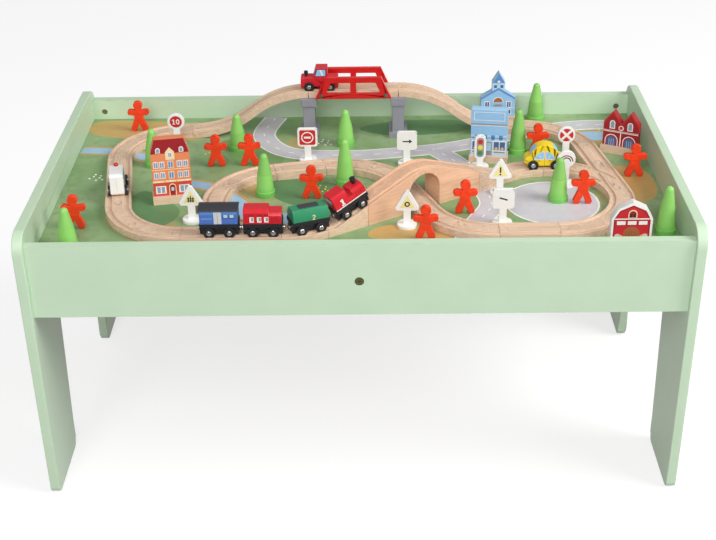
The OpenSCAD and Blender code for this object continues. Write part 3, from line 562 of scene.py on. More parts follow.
class Vehicle:
    """The frame of a vehicle: forward, left and up, with its origin on the track under its middle."""

    axle_z = 5.6

    def __init__(self, name):
        front = JOINTS[name + "_front_wheels_spin"]
        rear = JOINTS[name + "_rear_wheels_spin"]
        self.name = name
        self.front = Vector(front["pos_m"]) / MM
        self.rear = Vector(rear["pos_m"]) / MM
        self.forward = (self.front - self.rear).normalized()
        self.left = Vector(front["axis"]).normalized()
        self.up = self.forward.cross(self.left)
        self.origin = (self.front + self.rear) / 2 - self.up * self.axle_z

    def side_place(self, half_w, side=1):
        """The right side at a distance from the middle, or the left one if side is -1."""
        return place_of(self.origin - self.left * half_w * side, self.forward * side, self.up)

    def sides(self, prints, half_w):
        """Both side faces; outlines are given as (distance forward, height)."""
        return [Face(prints, self.side_place(half_w, side), side) for side in (1, -1)]

    def end_place(self, x, out=1):
        """A place across the vehicle at a distance forward; it looks to the rear if out is -1."""
        return place_of(self.origin + self.forward * x, self.left * out, self.up)

    def end(self, prints, x, out=1):
        """A front or rear face."""
        return Face(prints, self.end_place(x, out))

    def level_place(self):
        """The track under the vehicle; outlines are given as (distance forward, distance left)."""
        return place_of(self.origin, self.forward, self.left)

    def prints(self, slot):
        """A set of prints that rides on the vehicle."""
        return Prints(self.name, self.name, slot)


def flip(outline, side):
    """An outline of the right side, mirrored for the left side."""
    return [(u * side, v) for u, v in outline]


def add_hubs(vehicle, finish):
    """Bright domed hub caps on all four wheels."""
    cap_r = 3.7
    cap_y = 14.9
    for end, centre in (("front", vehicle.front), ("rear", vehicle.rear)):
        mesh = bmesh.new()
        for out in (1, -1):
            place = place_of(centre, vehicle.forward * -out, vehicle.up)
            turned(mesh, place, [
                (cap_r, cap_y), (cap_r, cap_y + 0.7), (cap_r * 0.8, cap_y + 1.25),
                (cap_r * 0.45, cap_y + 1.5), (cap_r * 0.15, cap_y + 1.6),
            ])
        piece(f"{vehicle.name}_{end}_hubs", f"{vehicle.name}_{end}_axle", finish, mesh)


# Settings
def colour_setting(name, description, code):
    """A colour that can be set in the sidebar."""
    return FloatVectorProperty(
        name=name, description=description, subtype="COLOR", size=4, min=0, max=1, default=linear(code))


class TrainTableColours(PropertyGroup):
    """Colours of the table and its toys."""

    table_green: colour_setting("Table green", "Lacquer on panels and rails", "#c3dabd")
    beech: colour_setting("Beech", "Bare wood of track and bases", "#dec0a5")
    arch_beech: colour_setting("Arch beech", "Steamed wood of the arch bridge", "#e2b695")
    pine: colour_setting("Pine", "Battens and brace under the board", "#d9c29b")
    meadow: colour_setting("Meadow", "Darker green of the printed board", "#7a9c66")
    pasture: colour_setting("Pasture", "Paler green of the printed board", "#98b083")
    straw: colour_setting("Straw", "Dry fields of the printed board", "#bd9654")
    girder_red: colour_setting("Girder red", "Paint on the bridge girders", "#d0161a")
    pier_grey: colour_setting("Pier grey", "Paint on the bridge piers", "#8d8d97")
    # the foot green is the darker, shaded end of the painted shade on the trees
    tree_foot_shade: colour_setting("Tree foot", "Green at the foot of a tree", "#6fba55")
    tree_tip: colour_setting("Tree tip", "Green at the tip of a tree", "#8dcd66")
    figure_red: colour_setting("Figure red", "Paint on the figures", "#f23e10")
    wagon_blue: colour_setting("Wagon blue", "Paint on the first wagon", "#4f74c4")
    wagon_green: colour_setting("Wagon green", "Paint on the third wagon", "#2f8a60")
    train_red: colour_setting("Train red", "Paint on the second wagon, the engine and the truck", "#d0202c")
    taxi_yellow: colour_setting("Taxi yellow", "Paint on the taxi", "#f2d21f")


class TrainTableSizes(PropertyGroup):
    """Edge rounding and light of the model."""

    table_edge: FloatProperty(
        name="Table edge", description="Rounding of the end panels in mm", default=1.4, min=0.2, max=3.0)
    track_edge: FloatProperty(
        name="Track edge", description="Rounding of track edges in mm", default=0.8, min=0.1, max=1.5)
    toy_edge: FloatProperty(
        name="Toy edge", description="Rounding of toy edges in mm", default=0.7, min=0.1, max=1.2)
    key_power: FloatProperty(
        name="Key lamp", description="Power of the lamp in front", default=130.0, min=0.0, max=500.0,
        unit="POWER")
    side_power: FloatProperty(
        name="Side lamp", description="Power of the lamp on the right", default=122.0, min=0.0, max=500.0,
        unit="POWER")
    sky_strength: FloatProperty(
        name="Sky", description="Strength of the even studio light", default=0.3, min=0.0, max=2.0)


def colours():
    """The colour settings of this scene."""
    return bpy.context.scene.train_table_colours


def sizes():
    """The size settings of this scene."""
    return bpy.context.scene.train_table_sizes


# Operators
class TRAINTABLE_OT_frame(Operator):
    """Finishes the end panels, rails, brace, battens and fasteners"""

    bl_idname = "train_table.frame"
    bl_label = "Table frame"

    def execute(self, context):
        lacquer = sprayed_lacquer("satin_lacquer_sage", tuple(colours().table_green), 0.42)
        for node in ("left_end_panel", "right_end_panel"):
            dress(node, lacquer, sizes().table_edge, 3, join_flat=True)
        for node in ("front_rail", "back_rail"):
            dress(node, lacquer)
        pine = sanded_beech("planed_pine", tuple(colours().pine))
        for node in ("board_battens", "centre_brace"):
            dress(node, pine)
        # the bolt heads in their recesses are coloured a dark olive
        dress("frame_bolts", plated_metal("dark_olive_steel", linear("#5c5b3e"), 0.5, 1.0), 0.2)
        steel = plated_metal("zinc_plated_steel", linear("#8d8d86"), 0.4, 1.0)
        for node in ("barrel_nuts", "wood_screws"):
            dress(node, steel, 0.2)
        dress("locating_dowels", sanded_beech("beech_dowel", tuple(colours().beech)), 0.3)
        return {"FINISHED"}


class TRAINTABLE_OT_board(Operator):
    """Prints a landscape of meadows, lanes and water on the play board"""

    bl_idname = "train_table.board"
    bl_label = "Printed board"

    lane_w = 40
    plaza = (300, -85)
    plaza_r = 74
    # curves on the board as a few points each, in mm from its middle
    lanes = (
        [(-474, -238), (-380, -226), (-260, -236), (-120, -240), (40, -232), (200, -236), (330, -242),
         (474, -234)],
        [(-150, 264), (-166, 180), (-120, 112), (-20, 98), (70, 108), (170, 132), (300, 190), (390, 214),
         (474, 212)],
        [(120, 126), (158, 70), (176, 20), (196, -30), (206, -90), (180, -150), (150, -232)],
    )
    brook = [(-474, 130), (-400, 118), (-330, 74), (-300, 10), (-236, -20), (-190, -72), (-168, -128)]
    pools = ([(-200, -118), (-168, -104), (-120, -112), (-90, -128), (-110, -146), (-164, -150)],
             [(350, 160), (376, 148), (424, 152), (446, 168), (420, 184), (372, 182)])
    fields = (
        ("straw", [(-470, 250), (-400, 256), (-300, 236), (-240, 200), (-300, 168), (-400, 176),
                   (-470, 200)]),
        ("straw", [(20, -196), (120, -206), (150, -176), (110, -150), (30, -160)]),
        ("straw", [(386, 30), (440, 44), (470, 10), (468, -60), (430, -90), (400, -40)]),
        ("moss", [(-340, -30), (-280, -96), (-300, -150), (-350, -130), (-366, -70)]),
        ("moss", [(0, 210), (60, 240), (160, 244), (210, 220), (150, 186), (50, 180)]),
        ("moss", [(-130, 10), (-40, -10), (0, -60), (-40, -100), (-110, -80), (-150, -30)]),
        ("meadow", [(-240, 150), (-190, 60), (-130, 74), (-140, 130), (-200, 170)]),
        ("meadow", [(250, 160), (330, 120), (360, 60), (300, 20), (240, 60), (220, 120)]),
    )

    def execute(self, context):
        dress("play_board", printed_meadow(
            "printed_hardboard", tuple(colours().meadow), tuple(colours().pasture), tuple(colours().straw),
            linear("#9a7a55")))
        prints = Prints("board", "table", "printed_board")
        top = Face(prints, level_place(BOARD_TOP))
        # prints that cross lie a little above one another, so that no two faces fall together
        for i, (ink, points) in enumerate(self.fields):
            top.lay(ink, smooth(points, True), i * 0.1)
        top.stroke("straw", smooth(self.brook, False), 34, 1)
        top.stroke("water", smooth(self.brook, False), 22, 2)
        for points in self.pools:
            top.lay("straw", smooth(grown(points, 1.18), True), 1.4)
            top.lay("water", smooth(points, True), 2.4)
        top.lay("white", disc(*self.plaza, self.plaza_r), 1.4)
        top.lay("lane", disc(*self.plaza, self.plaza_r - 3), 2.4)
        for i, points in enumerate(self.lanes):
            line = smooth(points, False)
            top.stroke("white", line, self.lane_w, 3 + i * 0.25)
            top.stroke("lane", line, self.lane_w - 5, 4 + i * 0.25)
            for k in range(1, len(line) - 2, 3):
                top.stroke("white", line[k:k + 2], 2, 5 + i * 0.25)
        self.flowers(top)
        prints.finish()
        return {"FINISHED"}

    def flowers(self, top):
        """Lays small dots of bloom in rings on the grass."""
        beds = ((-250, 110, "yellow"), (-60, 150, "white"), (-60, -30, "yellow"), (60, 0, "white"),
                (-430, 20, "white"), (420, 180, "yellow"), (250, 130, "white"), (-320, -180, "yellow"))
        for x, y, ink in beds:
            for k in range(7):
                angle = k * 2.4
                reach = 5 * math.sqrt(k + 1)
                bloom = disc(x + reach * math.cos(angle), y + reach * math.sin(angle), 1.8, steps=10)
                top.lay(ink, bloom, 6)


class TRAINTABLE_OT_railway(Operator):
    """Finishes the wooden track"""

    bl_idname = "train_table.railway"
    bl_label = "Railway"

    # beyond this distance from the middle the loop runs across the table
    side_x = 345

    def execute(self, context):
        beech = sanded_beech("sanded_beech_track", tuple(colours().beech), 0, self.side_x)
        for node in ("straight_tracks", "curved_tracks", "switch_tracks", "track_ramps", "bridge_deck"):
            dress(node, beech, sizes().track_edge)
        return {"FINISHED"}


class TRAINTABLE_OT_bridges(Operator):
    """Finishes the arch bridge, the girders and the piers"""

    bl_idname = "train_table.bridges"
    bl_label = "Bridges"

    arch_heading = 32.5

    def execute(self, context):
        arch = sanded_beech("steamed_beech_arch", tuple(colours().arch_beech), self.arch_heading)
        dress("arch_bridge", arch, sizes().track_edge)
        red = sprayed_lacquer("gloss_lacquer_red", tuple(colours().girder_red), 0.3, 30, coat=0.3)
        dress("bridge_girders", red, 0.6)
        grey = sprayed_lacquer("satin_lacquer_grey", tuple(colours().pier_grey), 0.45, 30)
        dress("bridge_piers", grey, 0.8)
        return {"FINISHED"}


class TRAINTABLE_OT_scenery(Operator):
    """Paints the trees and the figures"""

    bl_idname = "train_table.scenery"
    bl_label = "Trees and figures"

    def execute(self, context):
        # the trees are painted darker at the foot, as painted shade
        green = paint_shaded_at_foot(
            "tree_paint_shaded_at_foot", tuple(colours().tree_foot_shade), tuple(colours().tree_tip),
            BOARD_TOP, BOARD_TOP + (TREE_TOP - BOARD_TOP) * 0.3, 0.5)
        dress("trees", green)
        # the figures are painted darker at the foot, as painted shade
        red = paint_shaded_at_foot(
            "figure_paint_shaded_at_foot", shade(colours().figure_red, 0.85), tuple(colours().figure_red),
            BOARD_TOP, BOARD_TOP + 25, 0.5)
        dress("figures", red, 0.8)
        return {"FINISHED"}


class TRAINTABLE_OT_signs(Operator):
    """Prints plain marks on both faces of the road signs"""

    bl_idname = "train_table.signs"
    bl_label = "Signs"

    half_t = 2.5
    round_h, wide_h, lamp_h = 29, 33, 44
    limit, saltire, bridge = (-312, 145), (341, 72), (328, -22)
    fence, dot, alert = (-255, -134), (72, -158), (221, -52)
    halt, arrow, dash = (-86, 78), (78, 60), (216, -155)
    lamps = (197, 43)

    def execute(self, context):
        dress("signs", sprayed_lacquer("satin_lacquer_white", linear("#f0f0ed"), 0.4, 20, 1.5), 0.6)
        prints = Prints("sign", "table", "sign_paint")
        for plate_h, marks in (
            (self.round_h, ((self.limit, self.lay_limit), (self.saltire, self.lay_saltire),
                            (self.bridge, self.lay_bridge))),
            (self.wide_h, ((self.fence, self.lay_fence), (self.dot, self.lay_dot),
                           (self.alert, self.lay_alert), (self.halt, self.lay_halt),
                           (self.arrow, self.lay_arrow), (self.dash, self.lay_dash))),
            (self.lamp_h, ((self.lamps, self.lay_lamps),)),
        ):
            middle = SIGN_TOP - BOARD_TOP - plate_h / 2
            for spot, lay in marks:
                for face in upright_faces(prints, spot, 0, self.half_t, middle):
                    lay(face)
        prints.finish()
        return {"FINISHED"}

    def lay_limit(self, face):
        """A red disc with a plain number."""
        face.lay("red", disc(0, 0, 10.4))
        numeral_one(face, "white", -3.6, 0, 9.4, 1.8, 1)
        face.rim("white", disc(3.2, 0, 3.1, 1.5), disc(3.2, 0, 1.5, 1.9), 1)

    def lay_saltire(self, face):
        """A red disc crossed by two white bars."""
        face.lay("red", disc(0, 0, 11.2))
        for side in (-1, 1):
            face.stroke("white", [(-8.4, -8.4 * side), (8.4, 8.4 * side)], 4, 1 + side * 0.2)

    def lay_bridge(self, face):
        """Two dark bows, one inside the other."""
        for r, ink in ((10, "dark_red"), (6.4, "black")):
            face.stroke(ink, arc(0, -4, r, 0, 180), 1.8)

    def warning(self, face):
        """The pale yellow field of a three-cornered sign."""
        face.lay("lemon", [(-11.6, -12), (11.6, -12), (0, 9)])

    def lay_fence(self, face):
        """A small fence on the yellow field."""
        self.warning(face)
        for x in (-3.4, 0, 3.4):
            face.stroke("black", [(x, -10.4), (x, -2.2 if x else 0.4)], 1.6, 1)
        for y in (-8.2, -4.6):
            face.stroke("black", [(-5.4, y), (5.4, y)], 1.5, 2)

    def lay_dot(self, face):
        """A ring on the yellow field."""
        self.warning(face)
        face.rim("black", disc(0, -5.6, 4.2), disc(0, -5.6, 2.2), 1)

    def lay_alert(self, face):
        """An upright bar over a dot on the yellow field."""
        self.warning(face)
        face.stroke("black", [(0, -6.2), (0, 3.6)], 2.4, 1)
        face.lay("black", disc(0, -9, 1.5, steps=16), 1)

    def lay_halt(self, face):
        """A red square with a white ring and bar."""
        face.lay("red", rounded(0, 0, 26.4, 26.4, 3))
        face.rim("white", disc(0, 0, 10.2), disc(0, 0, 8.3), 1)
        face.lay("white", rect(0, 0, 11.2, 3.5), 1)

    def lay_arrow(self, face):
        """A plain arrow."""
        face.stroke("black", [(-7, -1), (4.2, -1)], 2.1)
        face.lay("black", [(3.6, -4.8), (8.7, -1), (3.6, 2.8)])

    def lay_dash(self, face):
        """A slanting dash."""
        face.stroke("black", [(-6, 1.9), (6, -1.9)], 2.4)

    def lay_lamps(self, face):
        """Red, yellow and green on a grey field."""
        face.lay("grey", rounded(0, 0, 11.6, 34, 5))
        for ink, y in (("red", 9.8), ("yellow", 0), ("leaf", -9.8)):
            face.lay(ink, disc(0, y, 4.2), 1)


class TRAINTABLE_OT_buildings(Operator):
    """Prints walls, roofs, windows and doors on both faces of the buildings"""

    bl_idname = "train_table.buildings"
    bl_label = "Buildings"

    base_h = 12
    plate_low = 7.05
    plate_w = 60
    half_t = 7
    foot = 5.2
    town_heading, shop_heading, gabled_heading = 10, -8, -25.7

    def execute(self, context):
        for node, heading, slot, edge, lay in (
            ("town_house", self.town_heading, "town_print", "#e0855a", self.lay_town),
            ("school", 0, "blue_print", "#a9cbe6", self.lay_school),
            ("shop", self.shop_heading, "blue_print", "#a3caea", self.lay_shop),
            ("gabled_house", self.gabled_heading, "red_print", "#a51d23", self.lay_gabled),
            ("barn", 0, "red_print", "#e6e4df", self.lay_barn),
        ):
            wood = shade(colours().beech, 1.02)
            split_z = BOARD_TOP + self.base_h + 0.02
            dress(node, plate_and_base("plywood_plate_" + node, linear(edge), wood, split_z), 0.5)
            prints = Prints(node, node, slot)
            low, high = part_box(node)
            spot = (low + high) / 2 / MM
            for face in upright_faces(prints, spot, heading, self.half_t, self.plate_low):
                lay(face)
            prints.finish()
        return {"FINISHED"}

    def wall(self, face, ink, low, high, layer=0):
        """A band of wall over the full width of the plate."""
        face.lay(ink, rect(0, (low + high) / 2, self.plate_w - 1, high - low), layer)

    def lay_town(self, face):
        """A tall house with a mansard roof over two floors of flats and a shop floor."""
        wall, top, ridge = 77, 101, self.plate_w * 0.385
        edge = self.plate_w / 2 - 0.5
        self.wall(face, "orange", self.foot, wall)
        self.wall(face, "brick", self.foot, 28, 1)
        self.wall(face, "cream", 28, 31, 2)
        self.wall(face, "cream", 49, 50.2, 1)
        face.lay("dark_red", [
            (-edge, wall), (edge, wall), (ridge - 0.5, top - 0.5), (0.5 - ridge, top - 0.5),
        ], 1)
        face.lay("cream", [(-7, 66), (7, 66), (7, 79), (0, 87), (-7, 79)], 2)
        face.window(0, 74, 6, 8, 3)
        for x in (-18, 18):
            face.lay("white", arched(x, 78, 7, 9), 2)
            face.lay("pane", arched(x, 79, 4.4, 6.4), 3)
        for y in (40, 58):
            face.window(0, y, 9, 12, 2, "cream", "blue")
            for x in (-23, -13.5, 13.5, 23):
                face.window(x, y, 8, 11, 2)
        for x in (-20, -11, -2, 7, 16, 24):
            face.lay("gold" if x % 2 else "white", disc(x, 29.5, 1.5, steps=12), 3)
        face.lay("cream", arched(0, self.foot, 11, 20), 2)
        face.lay("dark_red", arched(0, self.foot, 8.6, 18.4), 3)
        face.lay("sky", rect(0, 16, 4, 6), 4)
        for x in (-18, 18):
            face.window(x, 15.5, 16, 13, 2)

    def lay_school(self, face):
        """A gabled hall with a clock tower."""
        wall, peak, tower, tower_wall, tower_top = 40, 58, self.plate_w * 0.185 - 0.4, 68, 86
        edge = self.plate_w / 2 - 0.5
        eave, clock = 4, 69.5
        face.lay("sky", [(-tower, wall), (tower, wall), (tower, tower_wall), (-tower, tower_wall)])
        face.lay("blue", [(-tower, tower_wall - 1), (tower, tower_wall - 1), (0, tower_top - 1)], 1)
        face.lay("white", disc(0, clock, 3.4), 2)
        face.rim("deep_blue", disc(0, clock, 3.4), disc(0, clock, 2.6), 3)
        face.stroke("deep_blue", [(0, clock + 2.1), (0, clock), (1.5, clock - 0.9)], 0.6, 3)
        face.lay("pale_blue", [
            (-edge, self.foot), (edge, self.foot), (edge, wall), (0, peak), (-edge, wall),
        ], 1)
        roof = [(0, peak), (0, peak - eave), (edge, wall - eave), (edge, wall)]
        for side in (-1, 1):
            face.lay("blue", flip(roof, side), 2)
            face.window(side * 19, 27, 9, 12, 2, "white", "deep_blue")
            face.window(side * 19, 13, 9, 9, 2, "white", "deep_blue")
            face.lay("deep_blue", rect(side * 5.6, 60.5, 5, 5), 2)
        face.lay("white", arc(0, 31, 9.4, 0, 180), 2)
        face.lay("brown", arc(0, 31.4, 8, 0, 180), 3)
        face.lay("grey", disc(0, 24.5, 8.5, 0.36), 2)
        face.lay("white", arched(0, self.foot, 13, 15), 3)
        face.lay("brown", arched(0, self.foot, 10.4, 13.6), 4)
        face.stroke("cream", [(0, self.foot), (0, self.foot + 13)], 0.7, 5)
        self.wall(face, "white", 20, 20.8, 2)

    def lay_shop(self, face):
        """A flat-fronted shop with a bare sign board and an awning."""
        top, stripe_w = 85.5, self.plate_w / 9.2
        self.wall(face, "sky", self.foot, top)
        self.wall(face, "pale_blue", 62, top - 1, 1)
        face.rim("white", rect(0, 74, 50, 15), rect(0, 74, 48.4, 13.4), 2)
        self.wall(face, "grey", 58.4, 61.4, 2)
        self.wall(face, "white", 57.4, 58.4, 2)
        self.wall(face, "pale_blue", 35, 57, 1)
        for i in range(9):
            x = (i - 4) * stripe_w
            ink = "blue" if i % 2 else "sky"
            face.lay(ink, rect(x, 38, stripe_w, 6), 2)
            face.lay(ink, disc(x, 35, stripe_w / 2, 0.8, 20), 2)
        for x in (-17.5, 17.5):
            face.lay("white", rect(x, 20, 21, 22), 2)
            for dx in (-5, 5):
                face.lay("deep_blue", rect(x + dx, 22, 8.6, 15), 3)
                face.lay("gold", disc(x + dx, 17.4, 2.6, steps=16), 4)
            face.lay("grey", rect(x, 11, 19, 3), 3)
        face.lay("grey", rect(0, 17, 11, 23.6), 2)
        face.lay("sky", rect(0, 20, 7.4, 14), 3)

    def lay_gabled(self, face):
        """Two gables side by side over two wide arches."""
        wall, peak, half = 46, 66, self.plate_w / 4
        edge = self.plate_w / 2 - 0.5
        bargeboard = 3
        face.lay("dark_red", [
            (-edge, self.foot), (edge, self.foot), (edge, wall), (half, peak - 0.5), (0, wall),
            (-half, peak - 0.5), (-edge, wall),
        ])
        for side in (-1, 1):
            for foot_x in (0.4, 2 * half - 0.6):
                face.lay("red", flip([
                    (half, peak - 0.6), (foot_x, wall), (foot_x, wall - bargeboard),
                    (half, peak - bargeboard - 1),
                ], side), 1)
            for ink, low, w, h, layer in (
                ("white", 35, 9, 15, 1), ("pane", 36.4, 6, 12, 2), ("white", self.foot, 22, 20, 1),
                ("dark_red", self.foot, 19.4, 18.6, 2), ("deep_blue", self.foot, 15, 16, 3),
            ):
                face.lay(ink, arched(side * half, low, w, h), layer)
            for x in (half - 3.6, half, half + 3.6):
                face.stroke("pale_grey", [(side * x, self.foot), (side * x, 17)], 0.7, 4)
        face.lay("white", disc(0, 38, 4.4), 1)
        face.lay("red", disc(0, 38, 3), 2)
        self.wall(face, "white", 29.4, 30.6, 1)
        self.wall(face, "white", 31.6, 32.2, 1)
        face.stroke("white", [(0, self.foot), (0, 29)], 1.6, 3)

    def lay_barn(self, face):
        """A red barn inside its pale border, with a loft window and a wide door."""
        face.lay("white", [
            (-29.5, self.foot), (29.5, self.foot), (29.5, 36), (20.7, 51.6), (0, 61.4), (-20.7, 51.6),
            (-29.5, 36),
        ])
        face.lay("red", [
            (-26.5, self.foot), (26.5, self.foot), (26.5, 35.4), (18.9, 49), (0, 57.8), (-18.9, 49),
            (-26.5, 35.4),
        ], 1)
        eave = [(26.5, 35.4), (18.9, 49), (0, 57.8), (0, 55.6), (17.8, 47.2), (24.6, 35.4)]
        for side in (-1, 1):
            face.lay("dark_red", flip(eave, side), 2)
            face.lay("dark_red", rect(side * 25.6, 20, 1.8, 29), 2)
        face.lay("white", rect(0, 36, 53, 1.6), 3)
        face.lay("cream", arched(0, 37.6, 13, 13), 3)
        face.lay("dark_red", arched(0, 38.4, 10, 10.6), 4)
        for x in (-2.5, 2.5):
            face.lay("black", rect(x, 41.6, 3.4, 5.6), 5)
        for x in (-15.8, 0, 15.8):
            face.lay("dark_red", rect(x, 29.6, 14.6, 8), 3)
            face.lay("white", rect(x, 29.6, 12.6, 6), 4)
        face.lay("brown", arched(0, self.foot, 24, 18), 3)
        for x in (-8, -4, 0, 4, 8):
            face.stroke("dark_red", [(x, self.foot), (x, 16)], 0.5, 4)
        for side in (-1, 1):
            face.lay("pale_grey", disc(side * 20, 9, 4, 0.7), 3)
            face.lay("gold", disc(side * 15, 7.8, 2.6, 0.8, 20), 4)


class TRAINTABLE_OT_wagons(Operator):
    """Paints the three wagons and adds their roof, doors, windows and numeral"""

    bl_idname = "train_table.wagons"
    bl_label = "Wagons"

    half_w = 14.5

    def execute(self, context):
        for name, colour, roughness in (
            ("blue", colours().wagon_blue, 0.35), ("red", colours().train_red, 0.32),
            ("green", colours().wagon_green, 0.35),
        ):
            lacquer = sprayed_lacquer(f"gloss_lacquer_wagon_{name}", tuple(colour), roughness, 15)
            dress(f"{name}_wagon_body", lacquer, sizes().toy_edge)
        self.trim_blue(Vehicle("blue_wagon"))
        self.trim_red(Vehicle("red_wagon"))
        self.trim_green(Vehicle("green_wagon"))
        return {"FINISHED"}

    def trim_blue(self, wagon):
        """A dark barrel roof, a sliding door and windows."""
        roof_half, roof_r, crown_z, eave_z = 29.3, 22.05, 25.85, 41.4
        lean = math.degrees(math.asin((eave_z - crown_z) / roof_r))
        mesh = bmesh.new()
        bow = arc(0, crown_z, roof_r, lean, 180 - lean, 24)
        plate(mesh, wagon.end_place(0), bow, -roof_half, roof_half)
        piece("blue_wagon_roof", "blue_wagon",
              sprayed_lacquer("satin_lacquer_black", linear("#34343a"), 0.4, 12), mesh, 0.6)
        prints = wagon.prints("blue_wagon_paint")
        for face in wagon.sides(prints, self.half_w):
            face.lay("blue", rect(0, 38.6, 54, 4))
            face.lay("pale_grey", rect(-1, 31, 11.4, 19), 1)
            face.stroke("grey", [(-1, 21.8), (-1, 40.2)], 0.5, 2)
            face.lay("deep_blue", rect(-1, 22.2, 50, 0.8))
            for x in (11, 20):
                face.lay("black", rect(x, 33.6, 7.6, 6.6), 1)
                face.lay("sky", rect(x, 34, 6, 5), 2)
            face.stroke("sky", [(-25, 30), (-9, 30)], 0.6)
        prints.finish()

    def trim_red(self, wagon):
        """Three windows and four upright grooves on each side."""
        prints = wagon.prints("red_vehicle_paint")
        for face in wagon.sides(prints, self.half_w):
            for x in (-15.5, -4.5, 6):
                face.lay("white", rect(x, 27.6, 6.4, 8.6))
                face.lay("grey", rect(x + 0.9, 28.2, 3, 5.6), 1)
                face.lay("dark_red", rect(x, 34.6, 6.4, 1.4))
            for x in (14, 17, 20, 23):
                face.stroke("dark_red", [(x, 22.6), (x, 31)], 0.6)
        prints.finish()

    def trim_green(self, wagon):
        """A dark hatch on the top and a plain numeral on each side."""
        hatch_low, hatch_high = 38.4, 39.9
        mesh = bmesh.new()
        plate(mesh, wagon.level_place(), rounded(0, 0, 30.6, 12.6, 1), hatch_low, hatch_high)
        piece("green_wagon_hatch", "green_wagon",
              sprayed_lacquer("satin_lacquer_coal", linear("#3c3d41"), 0.5, 8, 1.5, 0.2), mesh, 0.3)
        prints = wagon.prints("green_wagon_paint")
        for face in wagon.sides(prints, self.half_w):
            numeral_two(face.unmirrored(), "cream", 4 * face.side, 25, 7.4, 1.2)
        prints.finish()


class TRAINTABLE_OT_engine(Operator):
    """Paints the engine and adds its stripe, numeral, windows, lamp and the wheel hubs of the train"""

    bl_idname = "train_table.engine"
    bl_label = "Engine and train wheels"

    half_w = 14.5
    train = ("blue_wagon", "red_wagon", "green_wagon", "engine")

    def execute(self, context):
        red = sprayed_lacquer("gloss_lacquer_engine_red", tuple(colours().train_red), 0.3, 15)
        dress("engine_body", red, sizes().toy_edge)
        black = sprayed_lacquer("satin_lacquer_chassis", linear("#222226"), 0.42, 12)
        dress("engine_stack", black, 0.3)
        wheel = moulded_abs("moulded_abs_black", linear("#1f1f22"), 0.4)
        nickel = plated_metal("nickel_plated_magnet", linear("#c6c6c9"), 0.3, 0.6)
        hub = plated_metal("bright_steel_hub", linear("#cbccd0"), 0.28, 0.8)
        for name in self.train:
            dress(name + "_chassis", black, 0.4)
            dress(name + "_magnets", nickel, 0.4)
            for end in ("front", "rear"):
                dress(f"{name}_{end}_wheels", wheel, 0.3)
            add_hubs(Vehicle(name), hub)
        self.trim(Vehicle("engine"))
        return {"FINISHED"}

    def trim(self, engine):
        """Stripe, numeral, cab window, lamp and vents."""
        prints = engine.prints("red_vehicle_paint")
        for face in engine.sides(prints, self.half_w):
            face.lay("white", rect(0, 21.7, 54.6, 1.5))
            numeral_one(face.unmirrored(), "white", -13 * face.side, 30, 11.4, 3, 1)
            for x in (11, 15.5, 20):
                face.stroke("dark_red", [(x, 25), (x, 31.6)], 1)
        engine.end(prints, -2).lay("sky", rounded(0, 35.4, 19, 8, 1.5))
        engine.end(prints, -28, -1).lay("sky", rounded(0, 35, 16, 7, 1.5))
        nose = engine.end(prints, 28)
        nose.lay("cream", disc(0, 30, 4))
        nose.rim("black", disc(0, 30, 4.6), disc(0, 30, 3.8), 1)
        prints.finish()


